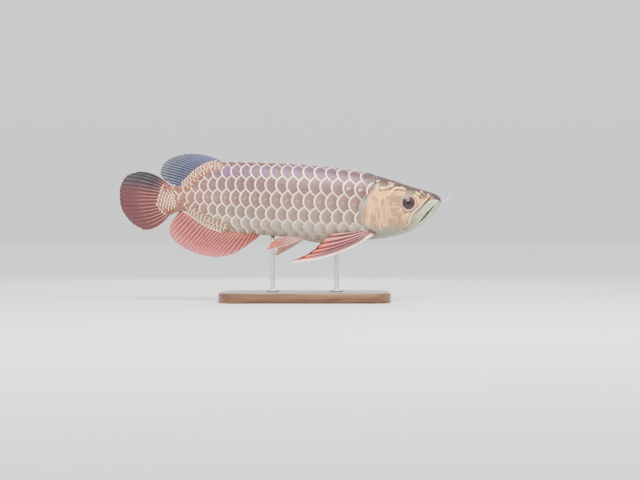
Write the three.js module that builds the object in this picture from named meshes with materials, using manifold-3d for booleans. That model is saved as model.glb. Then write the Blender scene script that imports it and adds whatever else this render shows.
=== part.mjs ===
// Asian arowana, a still life-size model of a young adult fish, swimming level over a plain display stand.
// Millimetres. +Z is up and the head points towards +X. The origin is the middle of the stand's underside.
// Most places are a station, the distance behind the snout tip, and a height over the fish's long axis.
import * as THREE from "three";
import { mergeVertices } from "three/addons/utils/BufferGeometryUtils.js";
import Module from "manifold-3d";

const wasm = await Module();
wasm.setup();

// Driving dimensions
const TOTAL_LENGTH = 450; // snout tip to the end of the tail fin
const SNOUT_X = 190; // snout tip ahead of the stand's middle
const AXIS_Z = 142; // long axis over the floor
const GAP = 0.3; // kept between pieces that meet
const TRUNK_START = 92; // station where the head meets the trunk
const TRUNK_END = 378; // station where the tail stalk meets the tail fin
const STALK_START = 318; // station where the trunk narrows into the tail stalk
const SCALE_LIFT = 1; // step at the free edge of a large scale
const SCALE_BULGE = 3; // how far the middle of a free edge reaches behind its corners
const LEAST_ROW = 1.5; // width of a row of scales that runs out against a fin
const TAIL_SWAY = 13; // how far the tail fin swings aside from the straight axis
const EYE = { station: 45.4, height: -3.5, radius: 9.3, depth: 1.1, turn: -0.16, lean: 0.05 };
const NOSTRILS = [{ station: 12, height: 6.3, radius: 1.2 }, { station: 26.5, height: 6, radius: 1.6 }];
const DORSAL_FIN = { rays: 20, from: 301, to: 361 }; // count of rays, and stations of the first and last root
const ANAL_FIN = { rays: 26, from: 250, to: 360 };
const TAIL_FIN_RAYS = 17;
const PELVIC_DROP = 0.16; // how much lower the left pelvic fin hangs, in radians
const STAND = { length: 236, width: 132, height: 14, corner: 30, rod: 3, collar: 9, collarHeight: 3 };
const BASE_BEVEL = 2;
const ROD_STATIONS = { stand_rod_front: 146, stand_rod_rear: 235 };

// A smooth line through [station, value] points that never swings past them.
function smoothLine(points) {
  const slopes = points.slice(1).map(([u, v], i) => (v - points[i][1]) / (u - points[i][0]));
  const tangents = points.map((_, i) => {
    if (i === 0) return slopes[0];
    if (i === points.length - 1) return slopes[i - 1];
    const [before, after] = [slopes[i - 1], slopes[i]];
    return before * after > 0 ? (2 * before * after) / (before + after) : 0;
  });
  return (u) => {
    let i = 0;
    while (i < points.length - 2 && u > points[i + 1][0]) i += 1;
    const width = points[i + 1][0] - points[i][0];
    const t = THREE.MathUtils.clamp((u - points[i][0]) / width, 0, 1);
    const [a, b] = [points[i][1], points[i + 1][1]];
    const cubic = (2 * t - 3) * t * t;
    return a * (1 + cubic) - b * cubic + width * t * (1 - t) * ((1 - t) * tangents[i] - t * tangents[i + 1]);
  };
}

// The body without its fins: height of the back and of the belly, half width, and level of the widest place.
const backLine = smoothLine([
  [0, -0.8], [2, 3.2], [6.3, 7], [14.7, 10.5], [42.8, 18.8], [70.8, 28.3], [98.8, 36.5], [141, 43.8],
  [197, 49.1], [253, 51.5], [300, 52.2], [324, 48.2], [341, 38.5], [353, 27], [363, 19.6], [370, 18.4],
  [377, 20], [384, 22.5],
]);
const bellyLine = smoothLine([
  [0, -1.8], [1.6, -5.6], [6.3, -12.6], [14.7, -23.2], [23.1, -31], [35.8, -39.8], [56.8, -48.6],
  [84.8, -54], [127, -57.5], [165, -60.2], [197, -55.3], [225, -51.2], [260, -48.3], [298, -43.3],
  [326, -33.5], [345, -20.8], [358, -13.8], [364, -14.8], [371, -17], [377, -19.6], [384, -22],
]);
const halfWidth = smoothLine([
  [0, 0], [1, 4.4], [4, 8], [9, 10.8], [18, 13.8], [32, 16.8], [46, 19], [62, 21], [85, 23.4], [112, 25],
  [150, 25.4], [200, 24], [250, 20.6], [300, 15.6], [335, 11.4], [362, 8], [384, 5.4],
]);
const widestLevel = smoothLine([
  [0, -1.3], [10, -4], [40, -8], [80, -8], [150, -3], [220, 0], [300, 4], [345, 5], [365, 2.6], [384, 1.2],
]);
const backSquareness = smoothLine([
  [0, 2], [12, 2.3], [45, 2.9], [80, 2.8], [130, 2.4], [250, 2.1], [384, 2],
]);
const bellySquareness = smoothLine([
  [0, 2], [12, 1.85], [45, 1.95], [80, 1.9], [112, 1.8], [300, 1.7], [384, 2],
]);

// The swimming pose: the centre line swings gently to one side and back, and most at the tail.
const swayOf = (u) => {
  const s = Math.max(0, (u - TRUNK_START) / (TOTAL_LENGTH - TRUNK_START));
  return -TAIL_SWAY * s * Math.sin(1.5 * Math.PI * s);
};
function posed(point) {
  const u = SNOUT_X - point.x;
  const angle = Math.atan(swayOf(u + 0.5) - swayOf(u - 0.5));
  const aside = new THREE.Vector3(Math.sin(angle), Math.cos(angle), 0);
  return new THREE.Vector3(point.x, swayOf(u), point.z).addScaledVector(aside, point.y);
}

const at = (u, y, z) => new THREE.Vector3(SNOUT_X - u, y, AXIS_Z + z);
const mirrored = (p) => new THREE.Vector3(p.x, -p.y, p.z);

// Half a cross section is two quarters of a superellipse; angle 0 is the back and PI the belly.
function sectionPoint(u, angle) {
  const level = widestLevel(u);
  const upper = angle <= Math.PI / 2;
  const power = 2 / (upper ? backSquareness(u) : bellySquareness(u));
  const rise = (upper ? backLine(u) - level : level - bellyLine(u)) * Math.sign(Math.cos(angle) || 1);
  const y = halfWidth(u) * Math.max(0, Math.sin(angle)) ** power;
  return [y, level + rise * Math.abs(Math.cos(angle)) ** power];
}

// Half width of the skin at a station and height.
function skinSide(u, z) {
  const upper = z >= widestLevel(u);
  const rise = upper ? backLine(u) - widestLevel(u) : widestLevel(u) - bellyLine(u);
  const power = upper ? backSquareness(u) : bellySquareness(u);
  return halfWidth(u) * Math.max(0, 1 - (Math.abs(z - widestLevel(u)) / rise) ** power) ** (1 / power);
}

// Lengths along half a section, from the back down to the belly, kept for each station that is asked for.
const SECTION_STEPS = 96;
const sections = new Map();
function sectionOf(u) {
  if (!sections.has(u)) {
    const lengths = [0];
    let last = sectionPoint(u, 0);
    for (let k = 1; k <= SECTION_STEPS; k += 1) {
      const next = sectionPoint(u, (k / SECTION_STEPS) * Math.PI);
      lengths.push(lengths[k - 1] + Math.hypot(next[0] - last[0], next[1] - last[1]));
      last = next;
    }
    sections.set(u, lengths);
  }
  return sections.get(u);
}

// A point of the skin: share runs from 0 on the back, down the left side, to 1 on the belly.
function flatSkin(u, share) {
  const lengths = sectionOf(u);
  const wanted = THREE.MathUtils.clamp(share, 0, 1) * lengths[SECTION_STEPS];
  let k = 1;
  while (k < SECTION_STEPS && lengths[k] < wanted) k += 1;
  const part = (wanted - lengths[k - 1]) / Math.max(lengths[k] - lengths[k - 1], 1e-9);
  const [y, z] = sectionPoint(u, ((k - 1 + part) / SECTION_STEPS) * Math.PI);
  return at(u, y, z);
}

// The same, raised off the skin by lift. Shares below 0, and those over 1, are the right side.
function skin(u, share, lift = 0) {
  if (share < 0) return mirrored(skin(u, -share, lift));
  if (share > 1) return mirrored(skin(u, 2 - share, lift));
  const [du, ds] = [0.6, 0.012];
  const along = flatSkin(Math.max(u - du, 0.2), share).sub(flatSkin(u + du, share));
  const low = Math.max(share - ds, 0);
  const high = Math.min(share + ds, 1);
  const down = flatSkin(u, high).sub(flatSkin(u, low));
  const normal = new THREE.Vector3().crossVectors(along, down).normalize();
  if (share < 1e-6 || share > 1 - 1e-6) normal.setY(0).normalize();
  return flatSkin(u, share).addScaledVector(normal, lift);
}

// A closed geometry from triangles of points, facing outwards.
function geometryOf(triangles) {
  let volume = 0;
  for (const [a, b, c] of triangles) volume += a.dot(new THREE.Vector3().crossVectors(b, c));
  const points = triangles.flatMap((t) => (volume < 0 ? [t[0], t[2], t[1]] : t));
  return mergeVertices(new THREE.BufferGeometry().setFromPoints(points), 1e-4);
}

// A closed geometry as a solid that can be joined and cut.
function solid(geometry) {
  const bare = geometry.clone();
  bare.deleteAttribute("normal");
  bare.deleteAttribute("uv");
  const merged = mergeVertices(bare, 1e-4);
  return new wasm.Manifold(new wasm.Mesh({
    numProp: 3,
    vertProperties: new Float32Array(merged.attributes.position.array),
    triVerts: new Uint32Array(merged.index.array),
  }));
}

// The largest closed surface of a solid.
function largest(made) {
  return made.decompose().sort((a, b) => b.volume() - a.volume())[0];
}

// Rings of points joined into a closed skin, with a fan over each end.
function loft(rings) {
  const triangles = [];
  const centre = (ring) => ring.reduce((sum, p) => sum.add(p), new THREE.Vector3()).divideScalar(ring.length);
  const count = rings[0].length;
  for (let k = 0; k < count; k += 1) {
    const next = (k + 1) % count;
    for (let i = 1; i < rings.length; i += 1) {
      const [a, b] = [rings[i - 1], rings[i]];
      triangles.push([a[k], a[next], b[next]], [a[k], b[next], b[k]]);
    }
  }
  for (const [ring, turn] of [[rings[0], 1], [rings[rings.length - 1], -1]]) {
    const middle = centre(ring);
    for (let k = 0; k < count; k += 1) {
      const next = (k + 1) % count;
      triangles.push(turn > 0 ? [middle, ring[next], ring[k]] : [middle, ring[k], ring[next]]);
    }
  }
  return geometryOf(triangles);
}

// A ring of the skin, with the same count of places down each side.
function skinRing(u, perSide, lift) {
  return Array.from({ length: 2 * perSide }, (_, k) => skin(u, k / perSide, lift));
}

// A straight-sided block with an outline in side view, through the whole width of the fish.
function sidePrism(outline, low = -60, high = 60) {
  const shape = new THREE.Shape(outline.map(([u, z]) => new THREE.Vector2(SNOUT_X - u, AXIS_Z + z)));
  const block = new THREE.ExtrudeGeometry(shape, { depth: high - low, bevelEnabled: false });
  return solid(block.rotateX(Math.PI / 2).translate(0, high, 0));
}

// A side view outline moved outwards by distance at each corner.
function grown(outline, distance) {
  const area = outline.reduce((sum, [u, z], i) => {
    const [nextU, nextZ] = outline[(i + 1) % outline.length];
    return sum + u * nextZ - nextU * z;
  }, 0);
  const turn = Math.sign(area);
  return outline.map((p, i) => {
    const before = outline[(i + outline.length - 1) % outline.length];
    const after = outline[(i + 1) % outline.length];
    const way = new THREE.Vector2(after[0] - before[0], after[1] - before[1]).normalize();
    return [p[0] + turn * way.y * distance, p[1] - turn * way.x * distance];
  });
}

// A smooth closed outline through a few corners.
function rounded(corners, count) {
  const points = corners.map(([u, z]) => new THREE.Vector3(u, z, 0));
  const curve = new THREE.CatmullRomCurve3(points, true, "centripetal");
  return curve.getSpacedPoints(count).slice(0, count).map((p) => [p.x, p.y]);
}

// The space between two stations, over the whole fish.
function slab(from, to) {
  const box = new THREE.BoxGeometry(to - from, 200, 400);
  return solid(box.translate(SNOUT_X - (from + to) / 2, 0, AXIS_Z));
}
const leftHalf = solid(new THREE.BoxGeometry(900, 200, 400).translate(0, 100, AXIS_Z));

// Large scales
// Rows run round the body: 0 along the back, 1 to 6 down the left side, 7 along the belly, 8 to 13 up the
// right side. Row 3 follows the lateral line, and every second row is set half a scale back.
const ROWS = 14;
const ROWS_ABOVE = { edges: [2.44, 1.47, 0.44], all: 3 }; // row edges over the lateral line, in whole rows
const ROWS_BELOW = { edges: [0.68, 1.62, 2.42, 3.02], all: 3.4 }; // the same under it
const NARROWING = 0.23; // how much of a row's width the corners of a free edge stand in from its sides
const rearRowWidth = smoothLine([[240, 18.5], [300, 17], [340, 14.5], [380, 12.4]]);

// Station of a free edge, by its number in the row: scales grow shorter towards the tail.
const freeEdge = (column) => 111.5 + 800 * (1 - Math.exp(-0.021 * column));
const [FIRST_COLUMN, LAST_COLUMN] = [-1.5, 21];

// Edges of rows 0 to 7 at a station, as shares of half the girth. A row that meets a fin narrows away.
function rowEdges(u) {
  const lengths = sectionOf(u);
  const half = lengths[SECTION_STEPS];
  const above = lengths[SECTION_STEPS / 2];
  const spread = (length, rows) => rows.edges.map((edge) => {
    const width = Math.max(length / rows.all, rearRowWidth(u));
    return Math.min(width * edge, length - LEAST_ROW * (rows.all - edge));
  });
  const upper = spread(above, ROWS_ABOVE).map((height) => (above - height) / half);
  const lower = spread(half - above, ROWS_BELOW).map((depth) => (above + depth) / half);
  const edges = [...upper, ...lower];
  return { half, edges: [-edges[0], ...edges, 2 - edges[6]] };
}

// Both edges of any row, as shares of half the girth. Rows 8 to 13 mirror rows 6 to 1.
function rowSpan(u, row) {
  const { half, edges } = rowEdges(u);
  const j = (row + ROWS) % ROWS;
  const span = j <= 7 ? [edges[j], edges[j + 1]] : [-edges[ROWS + 1 - j], -edges[ROWS - j]];
  return { span, width: (span[1] - span[0]) * half, half };
}

// A corner or the middle of a free edge, at the foot (0), half way (0.5) or the top (1) of its step.
function edgePoint(column, row, side, level, { lift, shift }) {
  const u = freeEdge(column);
  const { span, width, half } = rowSpan(u, row);
  const height = SCALE_LIFT * Math.min(1, width / 17);
  if (side === 0) {
    const middle = (span[0] + span[1]) / 2;
    return skin(u + (SCALE_BULGE * width) / 20 + shift, middle, level * height + lift);
  }
  const neighbour = rowSpan(u, row + side).width;
  const inset = (NARROWING * Math.min(width, neighbour)) / half;
  return skin(u + shift, span[(side + 1) / 2] - side * inset, level * height + lift);
}

// One scale: eight triangles round its crown, and the step behind and beside it down to the next scales.
function scaleFaces(column, row, grow) {
  const point = (back, aside, side, level) => edgePoint(column - back, row + aside, side, level, grow);
  const u = freeEdge(column - 0.5);
  const { span, width } = rowSpan(u, row);
  const crownHeight = SCALE_LIFT * (0.5 * Math.min(1, width / 17) + 0.012 * width);
  const crown = skin(u + grow.shift, (span[0] + span[1]) / 2, crownHeight + grow.lift);
  const rim = [
    point(0, 0, 1, 1), point(0.5, 1, -1, 0.5), point(1, 0, 1, 0), point(1, 0, 0, 0), point(1, 0, -1, 0),
    point(0.5, -1, 1, 0.5), point(0, 0, -1, 1), point(0, 0, 0, 1),
  ];
  const faces = rim.map((p, k) => [crown, p, rim[(k + 1) % rim.length]]);
  const [farTop, farSide, , , , nearSide, nearTop, rear] = rim;
  const [farHalf, farFoot] = [point(0, 0, 1, 0.5), point(0, 0, 1, 0)];
  const [nearHalf, nearFoot] = [point(0, 0, -1, 0.5), point(0, 0, -1, 0)];
  const rearFoot = point(0, 0, 0, 0);
  faces.push([rear, nearTop, nearHalf], [rear, nearHalf, nearFoot], [rear, nearFoot, rearFoot]);
  faces.push([rearFoot, farFoot, farHalf], [rearFoot, farHalf, farTop], [rearFoot, farTop, rear]);
  const [farSideFoot, nearSideFoot] = [point(0.5, 1, -1, 0), point(0.5, -1, 1, 0)];
  faces.push([farSide, farTop, farHalf], [farSide, farHalf, farSideFoot]);
  faces.push([nearTop, nearSide, nearSideFoot], [nearTop, nearSideFoot, nearHalf]);
  return faces;
}

// Faces that close an open skin: every edge with no partner is joined to a point inside the body.
function closing(triangles) {
  const name = (p) => [p.x, p.y, p.z].map((v) => Math.round(v * 1e3)).join();
  const open = new Map();
  for (const t of triangles) {
    for (let k = 0; k < 3; k += 1) {
      const [a, b] = [t[k], t[(k + 1) % 3]];
      if (!open.delete(`${name(b)} ${name(a)}`)) open.set(`${name(a)} ${name(b)}`, [a, b]);
    }
  }
  const [front, rear] = [at(freeEdge(FIRST_COLUMN - 2), 0, -10), at(freeEdge(LAST_COLUMN + 1), 0, 1)];
  const middle = (front.x + rear.x) / 2;
  return [...open.values()].map(([a, b]) => [b, a, a.x > middle ? front : rear]);
}

// The trunk with its scales. A grown copy is the room that it needs among its neighbours.
function scaledTrunk(grow) {
  const triangles = [];
  for (let row = 0; row < ROWS; row += 1) {
    for (let column = FIRST_COLUMN + (row % 2) / 2; column <= LAST_COLUMN; column += 1) {
      triangles.push(...scaleFaces(column, row, grow));
    }
  }
  return solid(geometryOf([...triangles, ...closing(triangles)]));
}
const wholeTrunk = scaledTrunk({ lift: 0, shift: 0 });
const trunkRoom = scaledTrunk({ lift: GAP, shift: 2 * GAP });

// Head
const HEAD_STEPS = 18;
function headSkin(lift) {
  const stations = [0.35, 1.4, 3.4, 7, 12, 18, 25, 33, 42, 52, 63, 76, 93, 104, 116];
  return solid(loft(stations.map((u) => skinRing(u, HEAD_STEPS, lift))));
}
const wholeHead = headSkin(0);

// Gill cover, upper jaw plate and the line of the mouth, as outlines in side view.
const GILL_COVER = rounded([
  [80, 8], [92.5, 12.6], [104.4, 5.4], [111.5, -5], [113.8, -20], [111.5, -33], [104, -42], [94, -46.6],
  [86, -44], [84.6, -28], [82, -8],
], 22);
const JAW_PLATE = rounded([
  [5.4, -3.4], [12, -0.4], [23, -5.4], [31.5, -12.8], [40, -20.6], [48, -28], [51.6, -36], [49, -41.6],
  [41, -37.4], [32, -30], [24, -22], [14, -12.4],
], 20);
const MOUTH_LINE = [
  [-4, 1.2], [1.5, -2.2], [5.4, -5], [14, -13.4], [24, -23.2], [32, -31.4], [41, -39], [49, -43.8], [57, -56],
];
const jawRoom = [...MOUTH_LINE, [20, -90], [-30, -60]];
const LIP = { width: 1.8, lift: 0.8, upperEnd: 4, lowerEnd: 7 }; // ends count the mouth line's points

// A plate that lies in the skin of both sides: its own two solids and the room that it needs.
function skinPlate(outline, lift, depth) {
  const plate = sidePrism(outline).intersect(headSkin(lift)).subtract(headSkin(-depth));
  const room = sidePrism(grown(outline, GAP)).subtract(headSkin(-depth - GAP));
  const left = largest(plate.intersect(leftHalf));
  return { left, right: largest(plate.subtract(leftHalf)), room };
}
const gillCover = skinPlate(GILL_COVER, 1.3, 2);
const jawPlate = skinPlate(JAW_PLATE, 0.9, 1.7);

// A lip: a low rim along the mouth line, on its upper (1) or lower (-1) side.
function lip(side, to) {
  const edge = MOUTH_LINE.slice(0, to);
  const far = edge.map(([u, z]) => [u - side * LIP.width * 0.7, z + side * LIP.width * 0.75]).reverse();
  return sidePrism([...edge, ...far]).intersect(headSkin(LIP.lift));
}

// Eye: a lens whose pupil stands a little proud, turned to face out of the head.
function eyeGeometry(grow) {
  const r = EYE.radius + grow;
  const lens = [[0, 3.2], [2.6, 3], [4.3, 2.2], [7.6, 1.5]].map(([x, h]) => [x, h + grow]);
  const back = [[r, 0.3 + grow], [r, -2.5], [r - 2, -5.5 - grow], [0, -6.5 - grow]];
  const outline = [...lens, ...back].map(([x, h]) => new THREE.Vector2(x, h)).reverse();
  return new THREE.LatheGeometry(outline, 16);
}
function eyeAt(side, grow) {
  const turned = eyeGeometry(grow).rotateZ(EYE.turn).rotateX(EYE.lean);
  const sunk = skinSide(EYE.station, EYE.height) - EYE.depth;
  const { x, y, z } = at(EYE.station, sunk, EYE.height);
  const left = solid(turned.translate(x, y, z));
  return side > 0 ? left : left.mirror([0, 1, 0]);
}

// Nostrils: two pits on each side of the snout.
function nostrils() {
  const pits = NOSTRILS.flatMap(({ station, height, radius }) => [1, -1].map((side) => {
    const { x, y, z } = at(station, side * skinSide(station, height), height);
    return solid(new THREE.SphereGeometry(radius, 8, 6).translate(x, y, z));
  }));
  return wasm.Manifold.union(pits);
}

// Half thickness of a ray and of the web beside it, each at the root and at the tip
const MEDIAN_FIN = { ray: [1.9, 0.45], web: [1.5, 0.28] };
const TAIL_FIN = { ray: [5.2, 0.45], web: [5, 0.28] };
const PAIRED_FIN = { ray: [1.7, 0.5], web: [1.2, 0.3] };
const NOTCH = 0.035; // how far the web stops short of the ray tips, as a share of the ray
const ROOT_DEPTH = 3; // how far a fin's root is let into the body before it is cut back

// Each ray has a root, a tip and a bow, as [station, side, height]. The web between rays ends a little short.
function finGeometry(rays, steps, { ray, web }) {
  const vector = ([u, y, z]) => at(u, y, z);
  const bowOf = (r) => new THREE.Vector3(-r.bow[0], r.bow[1], r.bow[2]);
  const columns = [];
  rays.forEach((r, i) => {
    columns.push({ root: vector(r.root), tip: vector(r.tip), bow: bowOf(r), half: ray });
    const next = rays[i + 1];
    if (!next) return;
    const root = vector(r.root).lerp(vector(next.root), 0.5);
    const tip = vector(r.tip).lerp(vector(next.tip), 0.5);
    columns.push({ root, tip: tip.lerp(root, NOTCH), bow: bowOf(r).lerp(bowOf(next), 0.5), half: web });
  });
  const [first, last] = [columns[0], columns[columns.length - 1]];
  const lengthwise = first.tip.clone().add(last.tip).sub(first.root).sub(last.root);
  const crosswise = last.tip.clone().add(last.root).sub(first.tip).sub(first.root);
  const side = lengthwise.cross(crosswise).normalize();
  const faces = [1, -1].map((turn) => columns.map(({ root, tip, bow, half }) => {
    const middle = root.clone().lerp(tip, 0.5).add(bow);
    const curve = new THREE.QuadraticBezierCurve3(root, middle, tip);
    return Array.from({ length: steps + 1 }, (_, k) => {
      const thickness = THREE.MathUtils.lerp(half[0], half[1], Math.sqrt(k / steps));
      return curve.getPoint(k / steps).addScaledVector(side, turn * thickness);
    });
  }));
  const [front, back] = faces;
  const triangles = [];
  const quad = (a, b, c, d) => triangles.push([a, b, c], [a, c, d]);
  for (let c = 0; c < columns.length - 1; c += 1) {
    for (let k = 0; k < steps; k += 1) {
      quad(front[c][k], front[c + 1][k], front[c + 1][k + 1], front[c][k + 1]);
      quad(back[c][k], back[c][k + 1], back[c + 1][k + 1], back[c + 1][k]);
    }
    quad(front[c][0], back[c][0], back[c + 1][0], front[c + 1][0]);
    quad(front[c][steps], front[c + 1][steps], back[c + 1][steps], back[c][steps]);
  }
  const end = columns.length - 1;
  for (let k = 0; k < steps; k += 1) {
    quad(front[0][k], front[0][k + 1], back[0][k + 1], back[0][k]);
    quad(front[end][k], back[end][k], back[end][k + 1], front[end][k + 1]);
  }
  return geometryOf(triangles);
}

// Rays spread evenly along a root line and a tip line. Both are [share of the fin, station, height] lists.
function medianRays(count, roots, tips, bow) {
  const [rootU, rootZ, tipU, tipZ] = [roots, roots, tips, tips].map((line, i) => (
    smoothLine(line.map((p) => [p[0], p[1 + (i % 2)]]))
  ));
  return Array.from({ length: count }, (_, k) => {
    const s = k / (count - 1);
    return { root: [rootU(s), 0, rootZ(s)], tip: [tipU(s), 0, tipZ(s)], bow: [bow[0], 0, bow[1]] };
  });
}

// Roots along the back or the belly, let in by depth.
function rootsAlong(line, { from, to }, depth) {
  return [0, 1, 2, 3, 4, 5, 6, 7].map((k) => {
    const u = THREE.MathUtils.lerp(from, to, k / 7);
    return [k / 7, u, line(u) - depth];
  });
}

function dorsalFin() {
  const tips = [
    [0, 313, 57], [0.1, 327.4, 62.1], [0.25, 348.4, 64.6], [0.4, 368, 61.7], [0.55, 382, 56.1],
    [0.7, 390.5, 47], [0.85, 392.6, 37.2], [0.94, 386, 27.5], [1, 376, 21.5],
  ];
  const rays = medianRays(DORSAL_FIN.rays, rootsAlong(backLine, DORSAL_FIN, ROOT_DEPTH), tips, [-1, 1.5]);
  return largest(solid(finGeometry(rays, 3, MEDIAN_FIN)).subtract(trunkRoom));
}

function analFin() {
  const tips = [
    [0, 257.3, -54], [0.1, 274, -66.6], [0.17, 292, -76], [0.26, 313, -79.9], [0.41, 331, -77.6],
    [0.63, 351.2, -70.8], [0.74, 364, -63.6], [0.845, 375.4, -53.8], [0.91, 380, -45], [0.955, 378.4, -35],
    [1, 368, -19],
  ];
  const rays = medianRays(ANAL_FIN.rays, rootsAlong(bellyLine, ANAL_FIN, -ROOT_DEPTH), tips, [-1, -1.5]);
  return largest(solid(finGeometry(rays, 3, MEDIAN_FIN)).subtract(trunkRoom));
}

function tailFin() {
  const tips = [
    [0, 424, 40], [0.125, 438.8, 35.1], [0.25, 446.8, 24.5], [0.375, TOTAL_LENGTH, 12.6],
    [0.5, TOTAL_LENGTH, 0.7], [0.625, 447.5, -11.9], [0.75, 441.2, -23.1], [0.875, 431.1, -33.6],
    [1, 416.4, -41.8],
  ];
  const roots = [[0, 376, 18.2], [0.25, 377, 10], [0.5, 377, 0.6], [0.75, 377, -9], [1, 376, -17.6]];
  const rays = medianRays(TAIL_FIN_RAYS, roots, tips, [1, 0]);
  rays.forEach((r, k) => { r.bow[2] = 12 - (26 * k) / (TAIL_FIN_RAYS - 1); });
  return largest(solid(finGeometry(rays, 4, TAIL_FIN)).intersect(slab(TRUNK_END, TOTAL_LENGTH + 20)));
}

// Paired fins, for the left side: rooted low behind the gill cover, and at the belly.
function pairedFin({ roots, tips, bows, spread, steps, turn = 0 }) {
  const pivot = roots[0];
  const swing = ([u, y, z]) => {
    const [du, dz] = [u - pivot[0], z - pivot[2]];
    const [c, s] = [Math.cos(turn), Math.sin(turn)];
    return [pivot[0] + du * c + dz * s, y, pivot[2] + dz * c - du * s];
  };
  const rays = roots.map((root, k) => {
    const tip = [tips[k][0], spread[k], tips[k][1]];
    return { root: swing(root), tip: swing(tip), bow: bows[k] };
  });
  return largest(solid(finGeometry(rays, steps, PAIRED_FIN)).subtract(trunkRoom));
}

function pectoralFin() {
  const tips = [
    [210.3, -86.6], [201.2, -83.1], [191.4, -78.9], [180.1, -72.2], [171.7, -65.2], [165, -56.8],
    [153, -47.5],
  ];
  const shares = tips.map((_, k) => k / (tips.length - 1));
  const roots = shares.map((s) => [93 + 9 * s, 9.5 + 3.5 * s, -47.5 + 6.5 * s]);
  const bows = shares.map((s) => [0, 5 - 3 * s, -20 + 18 * Math.sqrt(s)]);
  const spread = shares.map((s) => 44 - 20 * s);
  return pairedFin({ roots, tips, bows, spread, steps: 6 });
}

function pelvicFin(turn) {
  const tips = [[244, -70.5], [242.1, -67], [239, -63.1], [236.2, -58.9], [232, -54.7], [226.4, -51.5]];
  const shares = tips.map((_, k) => k / (tips.length - 1));
  const roots = shares.map((s) => [190 + 13 * s, 2.6, -54 + 4.5 * s]);
  const bows = shares.map((s) => [0, 2, -3 + 2.6 * s]);
  const spread = shares.map((s) => 17 - 5 * s);
  return pairedFin({ roots, tips, bows, spread, steps: 4, turn });
}

// Barbels: two tapered feelers at the tip of the lower jaw, reaching forwards, up and out.
function barbel(side) {
  const path = new THREE.CatmullRomCurve3([
    at(2.6, side * 3.4, -5), at(-1.5, side * 4.4, -4.4), at(-6, side * 8, -1.2),
    at(-10.6, side * 13, 2.8), at(-14, side * 18.5, 6.6),
  ]);
  const [steps, sides] = [12, 8];
  const frames = path.computeFrenetFrames(steps);
  const rings = Array.from({ length: steps + 1 }, (_, k) => {
    const radius = THREE.MathUtils.lerp(1.25, 0.3, (k / steps) ** 0.8);
    return Array.from({ length: sides }, (__, j) => {
      const angle = (j / sides) * 2 * Math.PI;
      return path.getPoint(k / steps)
        .addScaledVector(frames.normals[k], radius * Math.cos(angle))
        .addScaledVector(frames.binormals[k], radius * Math.sin(angle));
    });
  });
  return largest(solid(loft(rings)).subtract(headSkin(GAP)));
}

// Display stand
function standBase() {
  const { length, width, height, corner } = STAND;
  const radius = corner - BASE_BEVEL;
  const [x, y] = [length / 2 - corner, width / 2 - corner];
  const shape = new THREE.Shape();
  shape.absarc(x, -y, radius, -Math.PI / 2, 0);
  shape.absarc(x, y, radius, 0, Math.PI / 2);
  shape.absarc(-x, y, radius, Math.PI / 2, Math.PI);
  shape.absarc(-x, -y, radius, Math.PI, 1.5 * Math.PI);
  const bevel = { bevelThickness: BASE_BEVEL, bevelSize: BASE_BEVEL, bevelSegments: 1 };
  const made = new THREE.ExtrudeGeometry(shape, { depth: height - BASE_BEVEL, curveSegments: 6, ...bevel });
  return solid(made).trimByPlane([0, 0, 1], 0);
}

// A rod with a round collar on the base, cut off against the belly.
function standRod(station) {
  const top = AXIS_Z + bellyLine(station) + 6;
  const foot = STAND.height + GAP;
  const { rod, collar, collarHeight } = STAND;
  const outline = [
    [0, foot], [collar, foot], [collar, foot + collarHeight - 0.8], [collar - 0.8, foot + collarHeight],
    [rod, foot + collarHeight], [rod, top], [0, top],
  ].map(([r, z]) => new THREE.Vector2(r, z));
  const made = new THREE.LatheGeometry(outline, 14).rotateX(Math.PI / 2).translate(SNOUT_X - station, 0, 0);
  return largest(solid(made).subtract(trunkRoom));
}

// Materials, by what each piece is made of
function finish(color, roughness, metalness = 0) {
  return new THREE.MeshStandardMaterial({ color, roughness, metalness });
}
const materials = {
  headSkin: finish(0xc9a878, 0.38, 0.15),
  gillCover: finish(0xd8b284, 0.3, 0.25),
  jaw: finish(0xbfc7b4, 0.35, 0.1),
  scales: finish(0xb39a96, 0.32, 0.25),
  tailStalk: finish(0xb88a82, 0.35, 0.2),
  redFin: finish(0xb8605a, 0.5),
  blueFin: finish(0x53697e, 0.5),
  eye: finish(0x2a1c20, 0.08),
  barbel: finish(0x6e4a55, 0.5),
  wood: finish(0x4a2f1f, 0.5),
  steel: finish(0xb9bcc0, 0.28, 1),
};

const arowana = new THREE.Group();
const fish = new THREE.Group();
const stand = new THREE.Group();
arowana.add(fish, stand);

function addNode(group, name, made, material, bent = true) {
  const mesh = made.getMesh();
  const points = [];
  for (let k = 0; k < mesh.numVert; k += 1) {
    const point = new THREE.Vector3(...mesh.vertProperties.subarray(3 * k, 3 * k + 3));
    points.push(bent ? posed(point) : point);
  }
  const geometry = new THREE.BufferGeometry().setFromPoints(points);
  geometry.setIndex(new THREE.BufferAttribute(new Uint32Array(mesh.triVerts), 1));
  geometry.computeVertexNormals();
  const node = new THREE.Mesh(geometry, material);
  node.name = name;
  group.add(node);
}

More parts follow.
